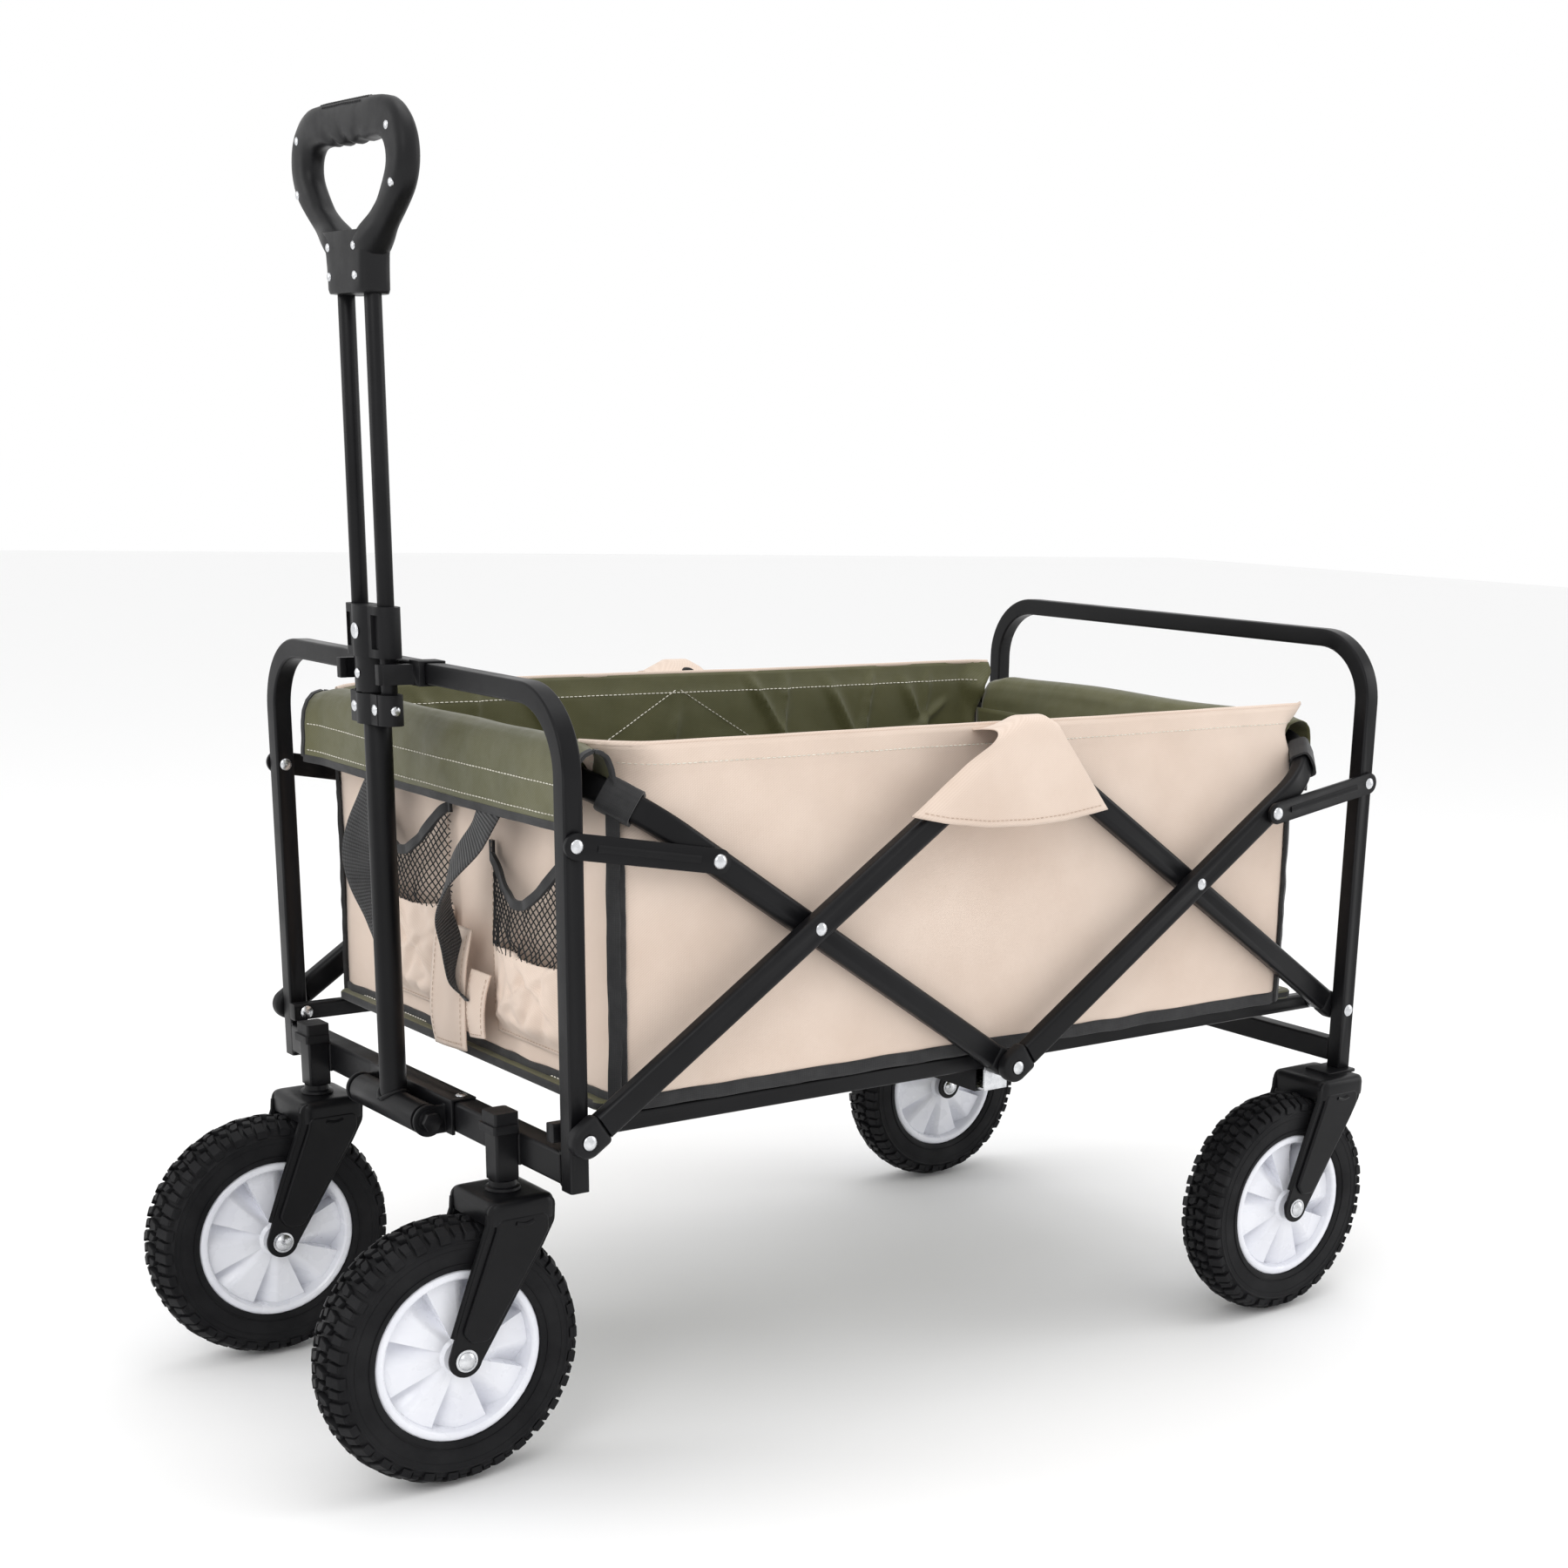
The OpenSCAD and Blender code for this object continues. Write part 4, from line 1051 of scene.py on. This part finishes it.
def fold_profile(prof, lens, t):
    d = t * lens[-1]
    for i in range(1, len(lens)):
        if lens[i] >= d or i == len(lens) - 1:
            r = (d - lens[i - 1]) / (lens[i] - lens[i - 1])
            a, b = Vector(prof[i - 1]), Vector(prof[i])
            p = a.lerp(b, r)
            n = (b - a).normalized()
            return p, Vector((n.y, -n.x))


def front_fold(u, v, off=0.0):
    y = -.2150 + .4290 * u
    p, n = fold_profile(FP, FL, v)
    hang = smooth((v - .50) / .35)
    wob = .0018 * nz(y * 8, v * 3, 1.5) * hang + .0010 * nz(y * 30, v * 9, 6.0)
    wob += .0016 * smooth((v - .3) / .1) * smooth((.62 - v) / .1) * sin(y * 55 + 2.0 * nz(y * 9, 2.0))
    x, z = p.x - wob, p.y
    z -= .0014 * sin((y + .21) * 9) * hang
    # the ends of the fold stand out a little beyond the tube
    e = smooth((abs(y) - .185) / .03)
    x -= .0036 * e * hang
    z -= .0060 * e * (1 - abs(v - .42) / .42 if abs(v - .42) < .42 else 0)
    y2 = y * (1 - .018 * e * hang * 0)
    return (x + n.x * off * -1, y2, z + n.y * off * -1 if False else z)


vs, fs = grid(120, 60, front_fold)
uv = [((-.215 + .429 * (i % 121) / 120), FL[-1] * (i // 121) / 60) for i in range(len(vs))]
ffold = mk("front_fold", vs, fs, olive, "front_cloth", "olive_cloth", uvs=uv, thick=.0009, sharp=70)
fst = stitches([(lambda t, q=q: front_fold(.01 + .98 * t, q, 0) and tuple(Vector(front_fold(.01 + .98 * t, q)) + Vector((-.0006, 0, 0))), (-1, 0, 0), 110) for q in (.800, .955)], "front_fold_stitch", "front_cloth", "olive_cloth")
edge_pts = [front_fold(k / 120, 1.0) for k in range(121)]
fbind = band([(p[0] + .0002, p[1], p[2] - .0012) for p in edge_pts], .0062, .0026, (-1, 0, 0), binding, "front_fold_binding", "front_cloth", "black_webbing", .0004)
for tag, uu in (("right", 0.0), ("left", 1.0)):
    pts = [front_fold(uu, .30 + .70 * k / 40) for k in range(41)]
    band([(p[0], p[1] + (.0006 if uu else -.0006), p[2]) for p in pts], .0056, .0026, lambda t: (-1, 0, .001), binding, f"front_fold_end_{tag}", "front_cloth", "black_webbing", .0004)
lowf = band([tuple(Vector(front_wall(k / 100, .012)) + Vector((-.0012, 0, .0030 + .0014 * nz(k * .17, 4.0)))) for k in range(101)], .0115, .0024, (-1, 0, 0), binding, "front_binding_bottom", "front_cloth", "black_webbing", .0008)
for tag, uu, sg in (("right", 0.0, -1), ("left", 1.0, 1)):
    pts = [tuple(Vector(front_wall(uu, k / 40)) + Vector((-.0004, sg * (.0016 + .0016 * nz(k * .23, sg * 3.0)), 0))) for k in range(41)]
    band(pts, .0098, .0028, (-1, sg * 1.0, 0), binding, f"front_binding_{tag}", "front_cloth", "black_webbing", .0008)
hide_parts("front_panel")


# ---- pockets: cloth bag below, net above, elastic binding along the mouth
def pocket(tag, y0, y1, seed, zb, zm, zt):
    mid = (y0 + y1) / 2

    def face(u, z):
        """pocket front: y from y0 to y1, standing out from the wall"""
        y = y0 + (y1 - y0) * u
        k = sin(pi * u) ** .6 if 0 < u < 1 else 0.0
        low = smooth((z - zb) / .020)
        out = .0030 + .0125 * k * low * (1 - .40 * smooth((z - zm) / .07))
        crump = (abs(nz(y * 42, z * 34, seed)) * 2 - .25) * .0060 + .0022 * nz(y * 95, z * 80, seed + 2)
        fade = low * k * (1 - .75 * smooth((z - zm) / .02))
        out += crump * fade
        if z < zm:
            d = abs((y - mid) * .55 + (z - .345)) / .007
            out += .0042 * max(0, 1 - d) * fade
            d = abs((y - mid + .02) * -.9 + (z - .352)) / .006
            out += .0036 * max(0, 1 - d) * fade
        return (-.2796 - min(out, .0190), y, z)

    vs, fs = grid(56, 40, lambda u, v: face(u, zb + (zm - zb) * v + .0022 * sin(u * 7 + seed) * v))
    bag = mk(f"pocket_bag_{tag}", vs, fs, beige, "front_cloth", "beige_cloth", uvs=[(p[1], p[2]) for p in vs], thick=.0007, sharp=75)

    def mouth(u):
        return zt - .034 * (sin(pi * u) ** 1.5 if 0 < u < 1 else 0.0) - .014 * u

    sp = Soup()
    n = 19
    for fam in (1, -1):
        for k in range(-n, 2 * n):
            pts = []
            for j in range(41):
                w = j / 40
                u = k / n + fam * w * .62
                if not 0 <= u <= 1:
                    continue
                z = zm - .002 + (zt - zm + .002) * w
                if z > mouth(u):
                    continue
                p = face(u, z)
                pts.append((p[0] - .0002 * fam, p[1], p[2]))
            if len(pts) > 2:
                v2, f2 = tube(pts, .00062, 4, up=(1, 0, 0))
                sp.add(v2, f2)
    net = sp.mesh(f"pocket_net_{tag}", net_mat, "front_cloth", slot_name="black_webbing", sharp=80)
    mp = [tuple(Vector(face(u, mouth(u))) + Vector((-.0006, 0, 0))) for u in [k / 50 for k in range(51)]]
    rim = band(mp, .0075, .0030, (-1, 0, 0), binding, f"pocket_rim_{tag}", "front_cloth", "black_webbing", .0008)
    for sd, uu in (("a", 0.0), ("b", 1.0)):
        p = Vector(face(uu, mouth(uu)))
        band([p + Vector((-.0012, 0, -.004 + .016 * k / 8)) for k in range(9)], .0062, .0024, (-1, 0, 0), binding, f"pocket_tab_{tag}_{sd}", "front_cloth", "black_webbing", .0006)
    sst = stitches([(lambda t, uu=uu: tuple(Vector(face(uu, zb + .002 + (zt - zb) * t)) + Vector((-.0009, 0, 0))), (-1, 0, 0), 60) for uu in (.012, .988)] +
                   [(lambda t: tuple(Vector(face(.02 + .96 * t, zb + .003)) + Vector((-.0009, 0, 0))), (-1, 0, 0), 60)], f"pocket_stitch_{tag}", "front_cloth", "beige_cloth", dark_thread, width=.0006, height=.0004)
    return bag, net


bagr, netr = pocket("right", -.1740, -.0580, 3.0, .303, .372, .450)
bagl, netl = pocket("left", .0080, .1340, 8.0, .303, .386, .464)
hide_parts("pockets")


# ---- two webbing pull straps hanging from under the fold
def strap(tag, ys, xs, zs, tw, name_from):
    n = 60
    def sp_(vals, t):
        m = len(vals) - 1
        q = t * m
        i = min(int(q), m - 1)
        f = q - i
        p0, p1, p2, p3 = vals[max(i - 1, 0)], vals[i], vals[i + 1], vals[min(i + 2, m)]
        return .5 * (2 * p1 + (p2 - p0) * f + (2 * p0 - 5 * p1 + 4 * p2 - p3) * f * f + (3 * p1 - p0 - 3 * p2 + p3) * f ** 3)
    pts = [(sp_(xs, k / n), sp_(ys, k / n), sp_(zs, k / n)) for k in range(n + 1)]
    ob = band(pts, .0300, .0018, lambda t: (-cos(sp_(tw, t)), sin(sp_(tw, t)), .05), webbing, f"pull_strap_{tag}", "front_cloth", "black_webbing", .0003, lambda t: 1.16 - .45 * smooth((t - .35) / .3) * smooth((1.0 - t) / .25))
    return ob


sa = strap("right", [-.0910, -.0800, -.0580, -.0410, -.0340, -.0300, -.0340], [-.2990, -.3070, -.3185, -.3165, -.3070, -.3050, -.2990], [.484, .456, .426, .396, .366, .342, .324], [0.0, .25, .55, .9, 1.25, .7, .25], 0)
sb = strap("left", [.0880, .0940, .1020, .1060, .1010, .0950, .0910], [-.2980, -.3060, -.3130, -.3120, -.3050, -.3010, -.2970], [.484, .458, .426, .396, .366, .345, .328], [0.0, -.2, -.4, -.5, -.3, -.1, 0.0], 0)
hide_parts("pull_straps")


# ---- two beige closing tabs hanging over the bottom binding
def tab(tag, y0, y1, z0, z1, seed):
    def f(u, v):
        y = y0 + (y1 - y0) * u + .004 * (v - .5)
        z = z1 + (z0 - z1) * v + .0045 * (u - .5) * v
        x = -.2955 - .0055 * sin(v * 2.4) - .0022 * nz(y * 30, z * 22, seed) - .0030 * (u - .5) * v
        return (x, y, z)
    vs, fs = grid(18, 36, f)
    ob = mk(f"closing_tab_{tag}", vs, fs, beige, "front_cloth", "beige_cloth", uvs=[(p[1], p[2]) for p in vs], thick=.0016, sharp=75)
    st = stitches([(lambda t, u=u: tuple(Vector(f(u, .03 + .94 * t)) + Vector((-.0013, 0, 0))), (-1, 0, 0), 40) for u in (.09, .91)] + [(lambda t: tuple(Vector(f(.09 + .82 * t, .95)) + Vector((-.0013, 0, 0))), (-1, 0, 0), 20)],
                  f"closing_tab_stitch_{tag}", "front_cloth", "beige_cloth", dark_thread, width=.0006, height=.0004)


tab("a", .0150, -.0420, .2830, .3790, 1.0)
tab("b", -.0430, -.0720, .2990, .3500, 5.0)

# ---- rear wall and fold
RP = [(.3990, .470), (.3992, .490), (.4008, .505), (.4040, .5165), (.4085, .5235), (.4150, .5262), (.4225, .5262), (.4290, .5235), (.4335, .5180), (.4355, .508), (.4362, .495), (.4362, .478), (.4358, .4640)]
RL = [0.0]
for i in range(1, len(RP)):
    RL.append(RL[-1] + (Vector(RP[i]) - Vector(RP[i - 1])).length)


def rear_fold(u, v):
    y = -.2060 + .4120 * u
    p, n = fold_profile(RP, RL, v)
    w = .0012 * nz(y * 11, v * 4, 3.5) + .0010 * nz(y * 30, v * 9, 7.0)
    e = smooth((abs(y) - .180) / .03)
    return (p.x + w, y, p.y - .0055 * e * (1 - abs(v - .45) / .45 if abs(v - .45) < .45 else 0) + .0010 * sin(y * 26))


def rear_wall(u, v):
    y = -.2150 + .4300 * u
    z = .2780 + (.492 - .2780) * v
    e = 1 - smooth(min(u, 1 - u) / .035)
    return (.4022 - .0020 * e + .0012 * nz(y * 9, z * 12, 5.0), y, z)


def rear_lin(u, v):
    y = -.2120 + .4240 * u
    z = .2880 + (.494 - .2880) * v
    return (.3986 - .0040 * (nz(y * 12, z * 11, 1.1) + .4) * smooth((v - .05) / .2) * smooth((1.0 - v) / .15), y, z)


vs, fs = grid(90, 44, rear_wall)
rwall = mk("rear_wall", vs, fs, beige, "rear_cloth", "beige_cloth", uvs=[(p[1], p[2]) for p in vs], thick=.0007, sharp=70)
vs, fs = grid(90, 44, rear_lin)
rlin = mk("rear_lining", vs, fs, olive, "rear_cloth", "olive_cloth", uvs=[(p[1], p[2]) for p in vs], thick=.0007, sharp=70)
vs, fs = grid(110, 50, rear_fold)
uv = [((-.206 + .412 * (i % 111) / 110), RL[-1] * (i // 111) / 50) for i in range(len(vs))]
rfold = mk("rear_fold", vs, fs, olive, "rear_cloth", "olive_cloth", uvs=uv, thick=.0009, sharp=70)
rst = stitches([(lambda t, q=q: tuple(Vector(rear_fold(.02 + .96 * t, q)) + Vector((d, 0, 0))), (1 if d > 0 else -1, 0, 0), 100) for q, d in ((.20, -.0008), (.93, .0008))], "rear_fold_stitch", "rear_cloth", "olive_cloth")
rbind = band([(p[0] - .0002, p[1], p[2] - .0012) for p in [rear_fold(k / 110, 1.0) for k in range(111)]], .0062, .0026, (1, 0, 0), binding, "rear_fold_binding", "rear_cloth", "black_webbing", .0004)
lowr = band([tuple(Vector(rear_wall(k / 100, .012)) + Vector((.0012, 0, .0030 + .0014 * nz(k * .17, 8.0)))) for k in range(101)], .0115, .0024, (1, 0, 0), binding, "rear_binding_bottom", "rear_cloth", "black_webbing", .0008)
for tag, uu, sg in (("right", 0.0, -1), ("left", 1.0, 1)):
    pts = [tuple(Vector(rear_wall(uu, k / 40)) + Vector((.0004, sg * .0016, 0))) for k in range(41)]
    band(pts, .0098, .0028, (1, sg * 1.0, 0), binding, f"rear_binding_{tag}", "rear_cloth", "black_webbing", .0008)
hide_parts("rear_panel")

# ---- webbing loops that hold the tub's corners to the arm tubes
for body, hx_, hz_, sg, yc, nm in (("arms_a2", HFX, HFZ, 1, .2335, "front"), ("arms_b1", HRX, HRZ, -1, .2475, "rear")):
    for s in (-1, 1):
        ob_pts = []
        th = math.radians(48 if nm == "front" else 46)
        R = .07
        # centre of the tube bend where the loop sits, in the arm's own plane
        a_s, a_y = R - R * cos(th) * 1.0, (yc - R) + R * sin(th)
        ax = Vector((sg * cos(TH), 0, -sin(TH)))
        up = Vector((sg * sin(TH), 0, cos(TH)))
        yv = Vector((0, s, 0))
        c = Vector((hx_, 0, hz_)) + ax * a_s + yv * a_y
        tang = (ax * sin(th) + yv * cos(th)).normalized()
        rad = (-ax * cos(th) + yv * sin(th)).normalized()
        pts = []
        for k in range(49):
            p = 2 * pi * k / 48
            cc = math.copysign(abs(cos(p)) ** .45, cos(p))
            ss = math.copysign(abs(sin(p)) ** .45, sin(p))
            pts.append(c + rad * (cc * .0083) + up * (ss * .0120))
        vs, fs = [], []
        prof = [(-.5, -.5), (-.5, .5), (-.25, .5), (0, .5), (.25, .5), (.5, .5), (.5, -.5), (0, -.5)]
        wd, tk = .026, .0022
        for i, p in enumerate(pts[:-1]):
            out = (p - c).normalized()
            for q, h in prof:
                vs.append(p + tang * (q * wd) + out * (h * tk + .0005 * nz(i * .4, q * 3)))
        n, k2 = 48, len(prof)
        fs = [(i * k2 + j, ((i + 1) % n) * k2 + j, ((i + 1) % n) * k2 + (j + 1) % k2, i * k2 + (j + 1) % k2) for i in range(n) for j in range(k2)]
        uvs = [(prof[i % k2][0] * wd, (i // k2) * .0013) for i in range(len(vs))]
        ob = mk(f"corner_loop_{nm}_{'left' if s > 0 else 'right'}", vs, fs, binding, body, "black_webbing", uvs=uvs, sharp=55)
        fixnormals(ob)


# ---- flap over each top pivot
def flap_edge(t):
    """lower edge of the flap, as (x, z)"""
    pts = [(-.0450, .4755), (-.0200, .4700), (.0200, .4645), (.0600, .4628), (.1000, .4645), (.1300, .4680), (.1450, .4700)]
    q = t * (len(pts) - 1)
    i = min(int(q), len(pts) - 2)
    a, b = Vector(pts[i]), Vector(pts[i + 1])
    return a.lerp(b, q - i)


for s, tag in ((-1, "right"), (1, "left")):
    def flap_raw(u, v):
        """from the wall under the hem, over the joint's cap, then down to the lower edge"""
        e = flap_edge(u)
        xt = .0360 + .0520 * u
        zp = max(.5352, .5448 - .50 * max(0.0, abs(xt - XC) - .010))
        key = [(0, .2236, .5325, 0), (.12, .2410, zp, 0), (.24, .2592, zp + .0004, .02), (.33, .2622, zp - .0075, .10), (1, .2622, e.y, 1)]
        for a, b in zip(key, key[1:]):
            if v <= b[0] or b is key[-1]:
                t = (v - a[0]) / (b[0] - a[0])
                return xt + (e.x - xt) * (a[3] + (b[3] - a[3]) * t), a[1] + (b[1] - a[1]) * t, a[2] + (b[2] - a[2]) * t

    def flap(u, v, s=s):
        pts = [flap_raw(u, min(1.0, max(0.0, v + d * min(v, 1 - v, .05)))) for d in (-1, -.5, 0, .5, 1)]
        x, y, z = (sum(q[k] for q in pts) / 5 for k in range(3))
        above = .588 * abs(x - XC) + .809 * (z - .529)
        y -= .0085 * smooth((above - .0125) / .016) * smooth((v - .30) / .25)
        y += (.0022 * sin(pi * u) + .0012 * nz(x * 30, z * 26, 5.0 * s)) * smooth((v - .35) / .4)
        return (x, s * y, z)
    vs, fs = grid(56, 40, flap)
    fo = mk(f"joint_flap_{tag}", vs, fs, beige, "flap_cloth", "beige_cloth", uvs=[(p[0], p[2]) for p in vs], thick=.0011, sharp=75)
    if s < 0:
        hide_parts("flaps")
    fs1 = stitches([(lambda t, s=s: tuple(Vector(flap(.02 + .96 * t, .955, s)) + Vector((0, s * .0008, 0))), (0, s, 0), 60)], f"joint_flap_stitch_{tag}", "flap_cloth", "beige_cloth", dark_thread, width=.0006, height=.0004)


# ---- floor boards: stiff pads wrapped in the same olive cloth
def board(tag, node, x0, x1, hw, hw2, dirn, body):
    zt, zb = .2836, .2763
    poly = [(x0, -hw), (x0 + dirn * .284, -hw), (x0 + dirn * .284, -hw2), (x1, -hw2), (x1, hw2), (x0 + dirn * .284, hw2), (x0 + dirn * .284, hw), (x0, hw)]
    poly = round_poly(poly, [.010, .003, .003, .006, .006, .003, .003, .010], 4)
    n = len(poly)
    cx, cy = sum(p[0] for p in poly) / n, sum(p[1] for p in poly) / n
    vs, fs = [], []
    rings = [(zb, .0012), (zb + .0012, 0), (zt - .0016, 0), (zt - .0004, .0012), (zt, .0030)]
    for z, ins in rings:
        for p in poly:
            d = Vector((p[0] - cx, p[1] - cy))
            k = 1 - ins / d.length
            vs.append((cx + d.x * k, cy + d.y * k, z))
    fs = [(r * n + i, r * n + (i + 1) % n, (r + 1) * n + (i + 1) % n, (r + 1) * n + i) for r in range(len(rings) - 1) for i in range(n)]
    fs.append(tuple(range(n - 1, -1, -1)))
    fs.append(tuple((len(rings) - 1) * n + i for i in range(n)))
    ob = mk(f"floor_pad_{tag}", vs, fs, olive, body, "olive_cloth", uvs=[(v[0], v[1]) for v in vs], sharp=60)
    fixnormals(ob)
    ob.data.materials.append(binding.m)
    for q in ob.data.polygons:
        if abs(q.normal.z) < .6:
            q.material_index = 1
    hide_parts(node)
    ins = .008
    sp = [(lambda t, a=a, b=b: (a[0] + (b[0] - a[0]) * t, a[1] + (b[1] - a[1]) * t, zt + .0003), (0, 0, 1), 60)
          for a, b in (((x0 + dirn * ins, -hw + ins), (x0 + dirn * .276, -hw + ins)), ((x0 + dirn * ins, hw - ins), (x0 + dirn * .276, hw - ins)), ((x0 + dirn * ins, -hw + ins), (x0 + dirn * ins, hw - ins)), ((x1 - dirn * ins, -hw2 + ins), (x1 - dirn * ins, hw2 - ins)))]
    stitches(sp, f"floor_pad_stitch_{tag}", body, "olive_cloth")


board("front", "floor_board_front", XF + .030, XF + .340, .216, .196, 1, "floor_front")
board("rear", "floor_board_rear", XR - .030, XR - .340, .216, .208, -1, "floor_rear")
sp = Soup()
pp = round_poly([(XC - .036, -.198), (XC + .036, -.198), (XC + .036, .198), (XC - .036, .198)], .008, 4)
cc = Vector((XC, 0))
sp.prism([(p[0], p[1], .2764) for p in pp], [(p[0], p[1], .2835) for p in pp])
strip = mk("floor_strip_pad", sp.v, sp.f, olive, "centre_support", "olive_cloth", uvs=[(v[0], v[1]) for v in sp.v], sharp=40, bevel=.0014, seg=3)
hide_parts("floor_strip")

# ---------------------------------------------------------------- stage
fl = bpy.data.meshes.new("ground")
fl.from_pydata([(-14, -14, 0), (14, -14, 0), (14, 14, 0), (-14, 14, 0)], [], [(0, 1, 2, 3)])
ground = bpy.data.objects.new("ground", fl)
bpy.context.scene.collection.objects.link(ground)
gm = Mat("ground_white", (0.93, 0.93, 0.93), 0.75)
fl.materials.append(gm.m)

world = bpy.data.worlds.new("studio")
bpy.context.scene.world = world
world.use_nodes = True
bg = world.node_tree.nodes["Background"]
bg.inputs["Color"].default_value = (1, 1, 1, 1)
bg.inputs["Strength"].default_value = 1.0
bpy.context.scene.view_settings.view_transform = "Standard"


def area(name, loc, target, size, power, sy=None):
    d = bpy.data.lights.new(name, "AREA")
    d.energy = power
    d.size = size
    if sy:
        d.shape = "RECTANGLE"
        d.size_y = sy
    o = bpy.data.objects.new(name, d)
    o.location = loc
    o.rotation_euler = (Vector(target) - Vector(loc)).to_track_quat("-Z", "Y").to_euler()
    bpy.context.scene.collection.objects.link(o)


area("key", (-2.4, -2.2, 2.6), (0, 0, .3), 1.5, 24)
area("top", (0.3, -0.2, 3.0), (0, 0, .3), 1.8, 16)
area("right", (2.9, -1.6, 1.4), (0, 0, .4), 1.0, 14, 1.8)
area("back_left", (-2.8, 1.6, 1.6), (0, 0, .5), 1.0, 15, 1.8)

cam_d = bpy.data.cameras.new("cam")
cam_d.sensor_width = 36
cam_d.lens = 52.790
cam_d.shift_x = -0.1466
cam_d.shift_y = 0.2387
cam_d.clip_end = 60
cam = bpy.data.objects.new("cam", cam_d)
bpy.context.scene.collection.objects.link(cam)
bpy.context.scene.camera = cam
AZ, EL, RO = math.radians(-40.798), math.radians(16.683), math.radians(2.153)
back = Vector((sin(AZ) * cos(EL), -cos(AZ) * cos(EL), sin(EL)))
fwd = -back
right = fwd.cross(Vector((0, 0, 1))).normalized()
upv = right.cross(fwd)
r2 = right * cos(RO) + upv * sin(RO)
u2 = -right * sin(RO) + upv * cos(RO)
m = Matrix((r2, u2, back)).transposed().to_4x4()
m.translation = Vector((-1.09032, -1.59607, 0.72441))
cam.matrix_world = m

bpy.context.view_layer.update()
